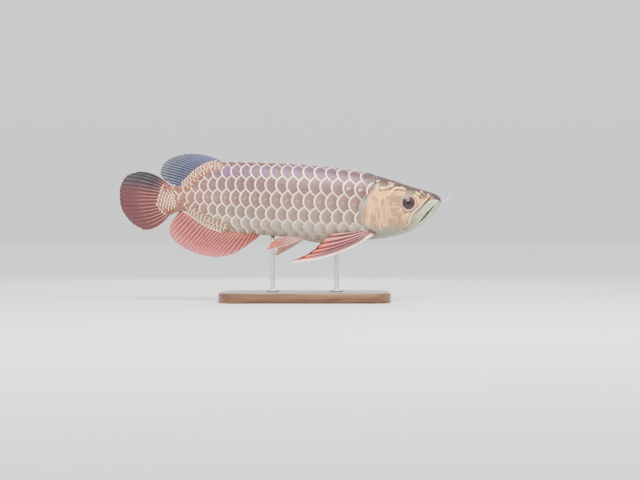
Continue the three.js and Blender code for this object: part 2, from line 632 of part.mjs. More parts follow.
const jawBlock = sidePrism(jawRoom);
const jawBlockGrown = sidePrism(grown(jawRoom, GAP));
const headRooms = [gillCover.room, jawPlate.room, jawBlockGrown, eyeAt(1, GAP), eyeAt(-1, GAP), nostrils()];
const lippedHead = wholeHead.intersect(slab(-5, TRUNK_START)).add(lip(1, LIP.upperEnd));
const lippedJaw = wholeHead.add(lip(-1, LIP.lowerEnd)).intersect(jawBlock);
const head = headRooms.reduce((made, room) => made.subtract(room), lippedHead);
addNode(fish, "head", largest(head), materials.headSkin);
addNode(fish, "lower_jaw", largest(lippedJaw.subtract(jawPlate.room)), materials.jaw);
addNode(fish, "upper_jaw_left", jawPlate.left, materials.jaw);
addNode(fish, "upper_jaw_right", jawPlate.right, materials.jaw);
addNode(fish, "gill_cover_left", gillCover.left, materials.gillCover);
addNode(fish, "gill_cover_right", gillCover.right, materials.gillCover);
addNode(fish, "eye_left", eyeAt(1, 0), materials.eye);
addNode(fish, "eye_right", eyeAt(-1, 0), materials.eye);
addNode(fish, "barbel_left", barbel(1), materials.barbel);
addNode(fish, "barbel_right", barbel(-1), materials.barbel);

const body = wholeTrunk.intersect(slab(TRUNK_START + GAP, STALK_START)).subtract(gillCover.room);
const tailStalk = wholeTrunk.intersect(slab(STALK_START + GAP, TRUNK_END - GAP));
addNode(fish, "body", largest(body), materials.scales);
addNode(fish, "tail_stalk", largest(tailStalk), materials.tailStalk);
addNode(fish, "dorsal_fin", dorsalFin(), materials.blueFin);
addNode(fish, "anal_fin", analFin(), materials.redFin);
addNode(fish, "tail_fin", tailFin(), materials.redFin);
addNode(fish, "pectoral_fin_left", pectoralFin(), materials.redFin);
addNode(fish, "pectoral_fin_right", pectoralFin().mirror([0, 1, 0]), materials.redFin);
addNode(fish, "pelvic_fin_left", pelvicFin(PELVIC_DROP), materials.redFin);
addNode(fish, "pelvic_fin_right", pelvicFin(0).mirror([0, 1, 0]), materials.redFin);

addNode(stand, "stand_base", standBase(), materials.wood, false);
for (const [name, station] of Object.entries(ROD_STATIONS)) {
  addNode(stand, name, standRod(station), materials.steel);
}

export default arowana;
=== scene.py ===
import math

import bpy
import numpy as np
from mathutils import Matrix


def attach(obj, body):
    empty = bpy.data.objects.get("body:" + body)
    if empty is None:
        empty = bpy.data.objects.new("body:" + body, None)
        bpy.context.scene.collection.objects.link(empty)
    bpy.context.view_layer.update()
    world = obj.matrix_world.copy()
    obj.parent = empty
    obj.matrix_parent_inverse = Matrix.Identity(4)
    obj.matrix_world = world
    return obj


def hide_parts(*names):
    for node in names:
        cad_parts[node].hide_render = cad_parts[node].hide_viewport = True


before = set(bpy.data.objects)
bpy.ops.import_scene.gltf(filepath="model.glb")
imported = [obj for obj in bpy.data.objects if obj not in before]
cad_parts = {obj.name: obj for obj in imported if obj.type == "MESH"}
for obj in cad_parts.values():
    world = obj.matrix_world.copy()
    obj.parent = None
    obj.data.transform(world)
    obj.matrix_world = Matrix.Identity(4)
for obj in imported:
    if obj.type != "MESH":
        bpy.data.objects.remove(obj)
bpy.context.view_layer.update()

# Asian arowana, a still model on a stand. Places on the fish are millimetres in the straight fish: the
# station behind the snout tip, the side, and the height over the long axis. place() bends them and turns
# them to metres in the shared frame, where +X is towards the head and +Z is up.
TOTAL_LENGTH = 450
SNOUT_X = 190  # where the snout tip is in the frame
AXIS_Z = 142  # height of the long axis
TRUNK_START = 92  # the sway begins here
TAIL_SWAY = 13
SKIN_END = 380
TABLE_END = 384  # last station in the tables of the skin
TABLE_STEP = 0.5  # its stations are this far apart, in mm
GIRTH_STEPS = 256  # shares of half the girth in the tables
SECTION_POINTS = 721  # points worked out on half a section before they are spread evenly


# Numbers and colours
def smooth_line(points):
    """A smooth line through (x, value) points: a cubic between each two, whose slope at a point is the
    harmonic mean of the slopes beside it, so that it never swings past them."""
    x, y = np.array(points, float).T
    slope = np.diff(y) / np.diff(x)
    before, after = slope[:-1], slope[1:]
    same = before * after > 0
    mean = np.where(same, 2 * before * after / np.where(same, before + after, 1), 0)
    tangent = np.concatenate([slope[:1], mean, slope[-1:]])

    def line(u):
        u = np.asarray(u, float)
        i = np.clip(np.searchsorted(x, u) - 1, 0, len(x) - 2)
        width = x[i + 1] - x[i]
        t = np.clip((u - x[i]) / width, 0, 1)
        cubic = (2 * t - 3) * t * t
        swing = (1 - t) * tangent[i] - t * tangent[i + 1]
        return y[i] * (1 + cubic) - y[i + 1] * cubic + width * t * (1 - t) * swing

    return line


def step(low, high, x):
    """A smooth step from 0 at low to 1 at high."""
    t = np.clip((x - low) / (high - low), 0, 1)
    return t * t * (3 - 2 * t)


def bell(x, width):
    """1 where x is 0, falling smoothly to about 0 two widths away."""
    return np.exp(-((x / width) ** 2))


def blend(a, b, share):
    """A value between two, by a share."""
    return a + (b - a) * share


def linear(code):
    """An sRGB hex colour as linear red, green and blue."""
    value = np.array([int(code[k:k + 2], 16) for k in (1, 3, 5)]) / 255
    return np.where(value <= 0.04045, value / 12.92, ((value + 0.055) / 1.055) ** 2.4)


def rgba(code):
    """The same with full opacity, for an input of a material."""
    return (*linear(code), 1.0)


def even_tone(code, like):
    """One colour for each place of an array."""
    return np.broadcast_to(linear(code), (*like.shape, 3))


def layered(tone, layers):
    """An array of colours with others laid over it in turn, each where its mask is 1."""
    for mask, code in layers:
        tone = blend(tone, linear(code), np.clip(mask, 0, 1)[..., None])
    return tone


LATTICE = 64  # random numbers each way, after which the pattern starts again
OCTAVE_SUM = 1.75  # 1 + 1/2 + 1/4


def noise(x, y, seed, octaves=3):
    """Smooth uneven values from -1 to 1: random numbers on a square lattice, eased between, in octaves."""
    total = np.zeros(np.broadcast(x, y).shape)
    for octave in range(octaves):
        table = np.random.default_rng(seed + octave).uniform(-1, 1, (LATTICE, LATTICE))
        a, b = x * 2**octave, y * 2**octave
        i, j = np.floor(a).astype(int), np.floor(b).astype(int)
        s, t = step(0, 1, a - i), step(0, 1, b - j)
        i, j, i_next, j_next = (k % LATTICE for k in (i, j, i + 1, j + 1))
        near = blend(table[i, j], table[i_next, j], s)
        far = blend(table[i, j_next], table[i_next, j_next], s)
        total += blend(near, far, t) / 2**octave
    return total / OCTAVE_SUM


# Build of the body without its fins, as in the solids
back_line = smooth_line([
    (0, -0.8), (2, 3.2), (6.3, 7), (14.7, 10.5), (42.8, 18.8), (70.8, 28.3), (98.8, 36.5), (141, 43.8),
    (197, 49.1), (253, 51.5), (300, 52.2), (324, 48.2), (341, 38.5), (353, 27), (363, 19.6), (370, 18.4),
    (377, 20), (384, 22.5),
])
belly_line = smooth_line([
    (0, -1.8), (1.6, -5.6), (6.3, -12.6), (14.7, -23.2), (23.1, -31), (35.8, -39.8), (56.8, -48.6),
    (84.8, -54), (127, -57.5), (165, -60.2), (197, -55.3), (225, -51.2), (260, -48.3), (298, -43.3),
    (326, -33.5), (345, -20.8), (358, -13.8), (364, -14.8), (371, -17), (377, -19.6), (384, -22),
])
half_width = smooth_line([
    (0, 0), (1, 4.4), (4, 8), (9, 10.8), (18, 13.8), (32, 16.8), (46, 19), (62, 21), (85, 23.4), (112, 25),
    (150, 25.4), (200, 24), (250, 20.6), (300, 15.6), (335, 11.4), (362, 8), (384, 5.4),
])
widest_level = smooth_line([
    (0, -1.3), (10, -4), (40, -8), (80, -8), (150, -3), (220, 0), (300, 4), (345, 5), (365, 2.6), (384, 1.2),
])
back_squareness = smooth_line([(0, 2), (12, 2.3), (45, 2.9), (80, 2.8), (130, 2.4), (250, 2.1), (384, 2)])
belly_squareness = smooth_line([(0, 2), (12, 1.85), (45, 1.95), (80, 1.9), (112, 1.8), (300, 1.7), (384, 2)])


def sway_of(u):
    """How far the centre line swings aside: none at the head, once to each side, and most at the tail."""
    s = np.maximum(0, (u - TRUNK_START) / (TOTAL_LENGTH - TRUNK_START))
    return -TAIL_SWAY * s * np.sin(1.5 * math.pi * s)


def place(u, y, z):
    """A point of the straight fish, bent with the swimming pose, in metres."""
    angle = np.arctan(sway_of(u + 0.5) - sway_of(u - 0.5))
    x = SNOUT_X - u + y * np.sin(angle)
    side = sway_of(u) + y * np.cos(angle)
    return np.stack(np.broadcast_arrays(x, side, AXIS_Z + z), axis=-1) / 1000


def section_tables():
    """Side and height of the skin at even stations and even shares of half the girth, from back to belly.
    A section is two half superellipses, above and below its widest level."""
    u = np.arange(0, TABLE_END + TABLE_STEP, TABLE_STEP)[:, None]
    angle = np.linspace(0, math.pi, SECTION_POINTS)[None, :]
    upper = angle <= math.pi / 2
    power = 2 / np.where(upper, back_squareness(u), belly_squareness(u))
    level = widest_level(u)
    rise = np.where(upper, back_line(u) - level, belly_line(u) - level)
    y = half_width(u) * np.clip(np.sin(angle), 0, None) ** power
    z = level + rise * np.abs(np.cos(angle)) ** power
    pieces = np.hypot(np.diff(y, axis=1, prepend=y[:, :1]), np.diff(z, axis=1, prepend=z[:, :1]))
    length = np.cumsum(pieces, axis=1)
    shares = np.linspace(0, 1, GIRTH_STEPS + 1)
    sides = [np.interp(shares * row[-1], row, line) for row, line in zip(length, y)]
    heights = [np.interp(shares * row[-1], row, line) for row, line in zip(length, z)]
    return np.array(sides), np.array(heights), length[:, -1], length[:, SECTION_POINTS // 2]


SIDES, HEIGHTS, HALF_GIRTHS, ABOVE_GIRTHS = section_tables()
TABLE_STATIONS = np.arange(len(HALF_GIRTHS)) * TABLE_STEP


def flat_skin(u, share):
    """Side and height of the left skin, between the entries of the tables."""
    a = np.clip(u / TABLE_STEP, 0, len(HALF_GIRTHS) - 1.001)
    b = np.clip(share, 0, 0.999999) * GIRTH_STEPS
    i, j = a.astype(int), b.astype(int)
    s, t = a - i, b - j
    return [
        blend(blend(table[i, j], table[i + 1, j], s), blend(table[i, j + 1], table[i + 1, j + 1], s), t)
        for table in (SIDES, HEIGHTS)
    ]


NEAR_ALONG = 0.6  # mm from a place to the two stations that give its slope
NEAR_ROUND = 0.012  # the same round the body, in shares


def skin_point(u, share, lift=0.0):
    """Station, side and height of the skin, raised along its normal: the cross product of its slopes along
    and round the body. Share is 0 on the back, 1 on the belly by the left side, and below 0 or over 1 on the
    right side."""
    u, share, lift = np.broadcast_arrays(np.asarray(u, float), share, lift)
    turned = share - 2 * np.round(share / 2)
    mirror = np.where(turned < 0, -1.0, 1.0)
    own = np.abs(turned)
    y, z = flat_skin(u, own)
    fore, aft = np.maximum(u - NEAR_ALONG, 0.2), u + NEAR_ALONG
    y_fore, z_fore = flat_skin(fore, own)
    y_aft, z_aft = flat_skin(aft, own)
    y_low, z_low = flat_skin(u, np.maximum(own - NEAR_ROUND, 0))
    y_high, z_high = flat_skin(u, np.minimum(own + NEAR_ROUND, 1))
    along = np.stack((aft - fore, y_fore - y_aft, z_fore - z_aft), -1)
    down = np.stack((np.zeros_like(u), y_high - y_low, z_high - z_low), -1)
    normal = np.cross(along, down)
    normal[..., 1] *= (own > 1e-6) & (own < 1 - 1e-6)
    normal /= np.linalg.norm(normal, axis=-1, keepdims=True) + 1e-12
    return u - normal[..., 0] * lift, mirror * (y + normal[..., 1] * lift), z + normal[..., 2] * lift


def skin_share(u, z):
    """Share of half the girth at which the skin has a height, by halving the range."""
    low, high = np.zeros_like(u), np.ones_like(u)
    for _ in range(24):
        middle = (low + high) / 2
        above = flat_skin(u, middle)[1] > z
        low, high = np.where(above, middle, low), np.where(above, high, middle)
    return (low + high) / 2


# Side view drawing: smooth curves, distance to a line and the inside of an outline
def curve(points, closed=False, count=8):
    """A smooth curve through a few points: a Catmull-Rom spline, count pieces between each two."""
    p = np.array(points, float)
    ends = (p[-1:], p[:2]) if closed else (2 * p[:1] - p[1:2], 2 * p[-1:] - p[-2:-1])
    q = np.concatenate([ends[0], p, ends[1]])
    a, b, c, d = (q[k:len(q) - 3 + k, None] for k in range(4))
    t = (np.arange(count) / count)[None, :, None]
    made = 0.5 * (2 * b + (c - a) * t + (2 * a - 5 * b + 4 * c - d) * t**2 + (3 * b - a - 3 * c + d) * t**3)
    made = made.reshape(-1, p.shape[1])
    return made if closed else np.concatenate([made, p[-1:]])


def distance_to(u, z, line):
    """Distance from each point to a broken line, and how far along it the nearest place is, from 0 to 1."""
    best = np.full(u.shape, 1e9)
    along = np.zeros(u.shape)
    for k, ((au, az), (bu, bz)) in enumerate(zip(line[:-1], line[1:])):
        du, dz = bu - au, bz - az
        t = np.clip(((u - au) * du + (z - az) * dz) / (du * du + dz * dz + 1e-12), 0, 1)
        gap = np.hypot(u - au - t * du, z - az - t * dz)
        along = np.where(gap < best, (k + t) / (len(line) - 1), along)
        best = np.minimum(best, gap)
    return best, along


def inside(u, z, outline):
    """Distance inside a closed outline; outside it is negative."""
    closed = np.concatenate([outline, outline[:1]])
    crossed = np.zeros(u.shape, bool)
    for (au, az), (bu, bz) in zip(closed[:-1], closed[1:]):
        spans = (az > z) != (bz > z)
        crossed ^= spans & (u < au + (z - az) * (bu - au) / (bz - az if bz != az else 1))
    return np.where(crossed, 1, -1) * distance_to(u, z, closed)[0]


def stroke(u, z, points, width, taper=0.0):
    """A soft brush mark along a smooth curve, as a mask. Taper thins both ends."""
    gap, along = distance_to(u, z, curve(points, count=6))
    room = width * (1 - taper * (2 * along - 1) ** 2) / 2
    return 1 - step(room * 0.55, room * 1.3, gap)


# Meshes
def new_piece(name, points, faces, coat, replaces, uvs=None):
    """A mesh object that rides on the model. Faces are index lists, coat is its material, replaces names the
    nodes it stands for, and uvs has one pair to a corner."""
    mesh = bpy.data.meshes.new(name)
    mesh.from_pydata(points.reshape(-1, 3).tolist(), [], faces)
    mesh.polygons.foreach_set("use_smooth", np.ones(len(mesh.polygons), bool))
    if uvs is not None:
        layer = mesh.uv_layers.new(name="OFBake")
        layer.data.foreach_set("uv", np.asarray(uvs, np.float32).ravel())
    mesh.update()
    piece = bpy.data.objects.new(name, mesh)
    bpy.context.scene.collection.objects.link(piece)
    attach(piece, "root")
    if replaces:
        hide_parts(*replaces)
    mesh.materials.append(coat)
    return piece


def give(piece, **named):
    """Keeps numbers or colours, one for each point of a mesh, for its material to read."""
    for name, values in named.items():
        if values.shape[-1:] == (3,):
            made = piece.data.attributes.new(name, "FLOAT_COLOR", "POINT")
            colours = np.concatenate([values.reshape(-1, 3), np.ones((values.size // 3, 1))], 1)
            made.data.foreach_set("color", colours.astype(np.float32).ravel())
        else:
            made = piece.data.attributes.new(name, "FLOAT", "POINT")
            made.data.foreach_set("value", values.astype(np.float32).ravel())


def tube_faces(rings, sides):
    """Quads of a tube, and a fan over each end to the two last points."""
    k, j = np.meshgrid(np.arange(rings - 1), np.arange(sides), indexing="ij")
    nxt = (j + 1) % sides
    quads = np.stack([k * sides + j, k * sides + nxt, (k + 1) * sides + nxt, (k + 1) * sides + j], -1)
    side = np.arange(sides)
    after = (side + 1) % sides
    last = (rings - 1) * sides
    front = np.stack([np.full(sides, rings * sides), after, side], -1)
    rear = np.stack([np.full(sides, rings * sides + 1), last + side, last + after], -1)
    return [*quads.reshape(-1, 4).tolist(), *front.tolist(), *rear.tolist()]


def tube_map(rings, sides):
    """A place on a square for each corner of tube_faces: its ring one way and its side the other."""
    k, j = (g.ravel() for g in np.meshgrid(np.arange(rings - 1), np.arange(sides), indexing="ij"))
    quads = np.stack([k, j, k, j + 1, k + 1, j + 1, k + 1, j], -1)
    j = np.arange(sides)
    none = np.zeros(sides, int)
    front = np.stack([none - 1, j + 0.5, none, j + 1, none, j], -1)
    rear = np.stack([none + rings, j + 0.5, none + rings - 1, j, none + rings - 1, j + 1], -1)
    corners = np.concatenate([part.reshape(-1, 2) for part in (quads, front, rear)])
    return (corners + [1, 0]) / [rings + 1, sides]


def sheet_faces(n, m):
    """Faces of a closed sheet of n by m points: its front, its back and the wall between their rims."""
    i, j = (g.ravel() for g in np.meshgrid(np.arange(n - 1), np.arange(m - 1), indexing="ij"))
    here = i * m + j
    front = np.stack([here, here + m, here + m + 1, here + 1], -1)
    back = front[:, ::-1] + n * m
    rim = np.concatenate([
        np.arange(m), (np.arange(1, n) + 1) * m - 1, (n - 1) * m + np.arange(m - 2, -1, -1),
        np.arange(n - 2, 0, -1) * m,
    ])
    after = np.roll(rim, -1)
    wall = np.stack([rim, after, after + n * m, rim + n * m], -1)
    return front, back, wall


# Materials
def add(tree, kind, links=None, **settings):
    """A node with its settings, and with values or links for its named or numbered inputs."""
    made = tree.nodes.new(kind)
    for key, value in settings.items():
        setattr(made, key, value)
    for key, value in (links or {}).items():
        if isinstance(value, bpy.types.NodeSocket):
            tree.links.new(value, made.inputs[key])
        else:
            made.inputs[key].default_value = value
    return made


def new_material(name, constants, recipe):
    """A material with one surface shader: constants for its own inputs, and a recipe that makes the rest."""
    made = bpy.data.materials.new(name)
    made.use_nodes = True
    tree = made.node_tree
    shader = tree.nodes["Principled BSDF"]
    for key, value in constants.items():
        shader.inputs[key].default_value = value
    for key, socket in recipe(tree).items():
        tree.links.new(socket, shader.inputs[key])
    return made


def object_noise(tree, scale_mm, detail=3, distortion=0.0):
    """Uneven values from 0 to 1 whose lumps are about scale_mm across."""
    return stretched_noise(tree, None, [(1000 / scale_mm, detail, distortion)])[0]


def stretched_noise(tree, stretch, kinds):
    """Uneven values on the piece's own coordinates, stretched, for each kind: scale, detail, distortion."""
    where = add(tree, "ShaderNodeTexCoord").outputs["Object"]
    if stretch:
        where = add(tree, "ShaderNodeMapping", {"Vector": where, "Scale": stretch}).outputs["Vector"]
    keys = ("Scale", "Detail", "Distortion")
    return [
        add(tree, "ShaderNodeTexNoise", {"Vector": where, **dict(zip(keys, kind))}).outputs["Fac"]
        for kind in kinds
    ]


def mixed(tree, factor, a, b):
    """Two colours mixed by a factor."""
    return add(tree, "ShaderNodeMix", {0: factor, 6: a, 7: b}, data_type="RGBA").outputs[2]


def ranged(tree, value, low, high, to_low=0.0, to_high=1.0):
    """A value carried smoothly from one range to another."""
    ends = {"From Min": low, "From Max": high, "To Min": to_low, "To Max": to_high}
    made = add(tree, "ShaderNodeMapRange", {"Value": value, **ends}, interpolation_type="SMOOTHSTEP")
    return made.outputs["Result"]


def stained(tree, tone, value, low, high, most, code):
    """A tone with a colour over it, where a value rises through a range, up to a greatest share."""
    return mixed(tree, ranged(tree, value, low, high, 0, most), tone, rgba(code))


def bumped(tree, height, strength, depth_mm):
    """Relief too fine for the mesh."""
    inputs = {"Height": height, "Strength": strength, "Distance": depth_mm / 1000}
    return add(tree, "ShaderNodeBump", inputs).outputs["Normal"]


def worked_out(tree, operation, *values):
    """A number worked out from others."""
    return add(tree, "ShaderNodeMath", dict(enumerate(values)), operation=operation).outputs[0]


def ripples(tree, value, rate):
    """A sine wave along a value."""
    return worked_out(tree, "SINE", worked_out(tree, "MULTIPLY", value, rate))


def attribute(tree, name, output="Color"):
    """What give() has kept on the mesh."""
    return add(tree, "ShaderNodeAttribute", attribute_name=name).outputs[output]


# Camera, floor and light
LIT_SPOT = (0.0, 0.0, 0.14)
FLOOR_REACH = 30  # metres, so far that its edge never shows


def camera():
    """Level, square to the right flank, with the photograph's framing: 1.402 mm to a pixel at the fish."""
    data = bpy.data.cameras.new("camera")
    data.sensor_width = 36
    data.lens = 80.75
    made = bpy.data.objects.new("camera", data)
    made.location = (0.021, -2.0, 0.086)
    made.rotation_euler = (math.pi / 2, 0, 0)
    bpy.context.scene.collection.objects.link(made)
    bpy.context.scene.camera = made


def area_light(name, spot, size, power, code):
    """A soft square lamp aimed at the middle of the model."""
    data = bpy.data.lights.new(name, "AREA")
    data.size = size
    data.energy = power
    data.color = linear(code)
    made = bpy.data.objects.new(name, data)
    made.location = spot
    away = made.location - type(made.location)(LIT_SPOT)
    made.rotation_euler = away.to_track_quat("Z", "Y").to_euler()
    bpy.context.scene.collection.objects.link(made)


# Matt paper: a dull floor that is hardly darker than the sky
def matt_paper(tree):
    return {"Base Color": mixed(tree, object_noise(tree, 90, 2), rgba("#dcdcda"), rgba("#e0e0de"))}


def studio():
    """A wide pale floor under an even pale sky, and three lamps."""
    mesh = bpy.data.meshes.new("floor")
    corners = [(x * FLOOR_REACH, y * FLOOR_REACH, 0) for x, y in ((-1, -1), (1, -1), (1, 1), (-1, 1))]
    mesh.from_pydata(corners, [], [(0, 1, 2, 3)])
    floor = bpy.data.objects.new("floor", mesh)
    bpy.context.scene.collection.objects.link(floor)
    constants = {"Roughness": 0.9, "Specular IOR Level": 0.2}
    mesh.materials.append(new_material("matt_paper", constants, matt_paper))
    world = bpy.data.worlds.new("sky")
    world.use_nodes = True
    tree = world.node_tree
    way = add(tree, "ShaderNodeTexCoord").outputs["Generated"]
    upward = add(tree, "ShaderNodeSeparateXYZ", {"Vector": way}).outputs["Z"]
    tone = mixed(tree, ranged(tree, upward, 0.02, 0.6), rgba("#cfd0d0"), rgba("#fbfcff"))
    tree.links.new(tone, tree.nodes["Background"].inputs["Color"])
    tree.nodes["Background"].inputs["Strength"].default_value = 1.75
    bpy.context.scene.world = world
    area_light("key", (0.3, -0.85, 1.0), 0.7, 28, "#fff6ec")
    area_light("fill", (-0.8, -1.1, 0.3), 0.9, 10, "#fff4f0")
    area_light("back", (-0.1, 1.0, 0.7), 0.8, 6, "#ffffff")


camera()
studio()


# Scale lattice, as in the solids: 14 rows round the body, and free edges at the same stations
ROWS = 14
ROWS_ABOVE = ([2.44, 1.47, 0.44], 3)  # edges over the widest level in row widths, and the rows that fit
ROWS_BELOW = ([0.68, 1.62, 2.42, 3.02], 3.4)  # the same under it
LEAST_ROW = 1.5  # mm of width that a crowded row keeps
PACKING = 0.021  # how fast the scales get shorter towards the tail
rear_row_width = smooth_line([(240, 18.5), (300, 17), (340, 14.5), (380, 12.4)])


def free_edge(column):
    """Station of a free edge by its number in the row."""
    return 111.5 + 800 * (1 - np.exp(-PACKING * column))


def column_pitch(column):
    """Distance from one free edge to the next in the row."""
    return 16.8 * np.exp(-PACKING * column)


def row_edge(u, k):
    """Edge k of rows 0 to 7 on the left side, as a share of half the girth; k runs from 0 to 8."""
    half = np.interp(u, TABLE_STATIONS, HALF_GIRTHS)
    above = np.interp(u, TABLE_STATIONS, ABOVE_GIRTHS)

    def spread(length, edge, count):
        width = np.maximum(length / count, rear_row_width(u))
        return np.minimum(width * edge, length - LEAST_ROW * (count - edge))

    if k == 0:
        return -row_edge(u, 1)
    if k == 8:
        return 2 - row_edge(u, 7)
    if k <= 3:
        return (above - spread(above, ROWS_ABOVE[0][k - 1], ROWS_ABOVE[1])) / half
    return (above + spread(half - above, ROWS_BELOW[0][k - 4], ROWS_BELOW[1])) / half


def row_places(rows, row, u):
    """Middle share and width in shares of each scale's row at its stations."""
    middle, width = np.zeros(u.shape), np.zeros(u.shape)
    for r in rows:
        own = row == r
        side, near, far = (1, r, r + 1) if r <= 7 else (-1, ROWS + 1 - r, ROWS - r)
        low, high = side * row_edge(u[own], near), side * row_edge(u[own], far)
        middle[own], width[own] = (low + high) / 2, high - low
    return middle, width


# Head drawing, in side view
EYE = {"station": 47, "height": -4.8, "depth": 1.1, "turn": -0.16, "lean": 0.05}
GILL_COVER = curve([
    (80, 8), (92.5, 12.6), (104.4, 5.4), (111.5, -5), (113.8, -20), (111.5, -33), (104, -42), (94, -46.6),
    (86, -44), (84.6, -28), (82, -8),
], closed=True)
JAW_PLATE = curve([
    (4.6, -2.6), (12, -0.4), (23, -5.4), (31.5, -12.8), (40, -20.6), (48, -28), (51.6, -36), (49, -41.6),
    (41, -37.6), (31, -29.6), (21, -18.4), (13, -9.4),
], closed=True)
MOUTH_LINE = curve([
    (-3, 0.4), (1.5, -2), (5.4, -4.4), (8.6, -6.8), (12.2, -10.2), (20, -19), (30.4, -30.6), (41, -38.8),
    (49, -43.8),
])
JAW_FOLD = curve([(17.5, 1.4), (24, -5.6), (31.5, -14), (40, -21.8), (46.2, -28), (49.4, -36), (53, -42)])
head_rear = smooth_line([
    (-60, 101), (-50, 98), (-43, 103.5), (-33, 111), (-20, 113.6), (-5, 111.2), (5.4, 104.6), (12, 95),
    (20, 91), (40, 89),
])
gape = smooth_line([(0, 0.3), (0.42, 0.35), (0.52, 0.9), (0.64, 1.7), (0.72, 1.3), (0.78, 0.4), (1, 0.3)])
HEAD_RIDGES = (
    # height in mm, below 0 for a groove, half width in mm, and points in side view
    (-0.45, 1.0, [(80.5, 6), (82, -8), (85, -26), (86, -42)]),
    (0.55, 1.1, [(82, -8.4), (84.6, -22), (86.4, -33), (84.4, -41.5)]),
    (0.4, 1.0, [(78.3, 5.4), (78, -10), (74.4, -24)]),
    (0.35, 0.9, [(82, -12), (78, -24), (75, -31)]),
    (-0.35, 0.8, [(58, -9.6), (72.4, -9.6)]),
    (-0.25, 0.9, [(57, -14), (66, -27), (72, -40)]),
    (-0.4, 1.1, [(54, 8), (66, 12.4), (80, 13)]),
    (-0.25, 0.9, [(47, -16), (54, -29), (60, -42)]),
)
NOSTRILS = ((12, 6.3, 1.1), (26.5, 6, 1.5))  # station, height and radius


def mouth_side(u, z):
    """Height over the line of the mouth."""
    return z - np.interp(u, MOUTH_LINE[:, 0], MOUTH_LINE[:, 1])


def eye_reach(u, z):
    """Distance from the middle of the eye in side view."""
    return np.hypot(u - EYE["station"], z - EYE["height"])


def head_relief(u, y, z):
    """Height of the head's skin over the smooth body, in mm: jaw plate, lips, gape, folds, cheek plates,
    gill cover, eye socket and nostrils, each a smooth step or ridge along its line in side view."""
    flank = step(0.5, 3.5, np.abs(y))
    lift = 1.1 * step(-0.5, 0.9, inside(u, z, JAW_PLATE)) * flank
    lift -= 1.4 * bell(distance_to(u, z, JAW_FOLD)[0], 0.9) * flank
    gap, along = distance_to(u, z, MOUTH_LINE)
    opening = gape(along)
    below = -mouth_side(u, z)
    lift += 0.4 * bell(gap - 2.2, 1.2) * step(0, 0.5, below)
    lift += 0.9 * step(0, 2, below) * step(1, 8, u) * step(52, 40, u)
    lift -= 1.9 * (1 - step(opening * 0.5, opening * 1.6, gap)) * step(46, 38, u) * step(0.5, 4, u)
    lift -= 0.6 * bell(gap, 0.7) * step(38, 46, u)
    lift += 1.75 * step(-0.7, 0.7, inside(u, z, GILL_COVER)) * step(84, 98, u) * flank
    for height, width, line in HEAD_RIDGES:
        lift += height * bell(distance_to(u, z, curve(line))[0], width) * flank
    reach = eye_reach(u, z)
    lift += 0.5 * bell(reach - 10.2, 0.8) * flank
    lift -= 4.5 * step(9.9, 9.0, reach) * flank
    for station, height, radius in NOSTRILS:
        hole = np.hypot(u - station, z - height)
        lift += (0.6 * bell(hole - radius - 0.6, 0.6) - 1.6 * bell(hole, radius * 0.75)) * flank
    under = step(-34, -44, z) * step(20, 34, u) * step(104, 92, u)
    lift += 0.22 * np.sin((z - belly_line(u)) * 1.7 + 0.02 * u) * under * flank
    lift += 0.12 * noise(u / 7, z / 7 + np.sign(y) * 5, 3) * step(2, 10, u)
    return lift


def skin_relief(u, y, z):
    """Over the trunk the skin lies lower than the scales; ahead of them it carries the head's relief."""
    trunk = step(1, 6, u - head_rear(z))
    return blend(head_relief(u, y, z), -0.9 - 1.3 * step(366, SKIN_END, u), trunk)


# Colour of the skin
def body_tone(u, z):
    """The animal's ground colours, from the pale belly to the dark back, and rosier towards the tail."""
    low = belly_line(u)
    high = (z - low) / (back_line(u) - low + 1e-6)
    return layered(even_tone("#b6ac9d", u), [
        (step(0.12, 0.42, high), "#978d84"),
        (step(0.45, 0.7, high), "#877872"),
        (step(0.72, 0.95, high), "#78686a"),
        (step(0.93, 1.02, high), "#5c494f"),
        (0.75 * step(296, 366, u), "#9f6e61"),
    ])


DARK_AREAS = (
    # colour, station, height, and half length and half height
    ("#57584b", 43, 9, 7, 3.8),
    ("#6d4c3c", 27, 4, 6.5, 3.6),
    ("#4a3a2e", 82, 23, 9, 3.4),
)


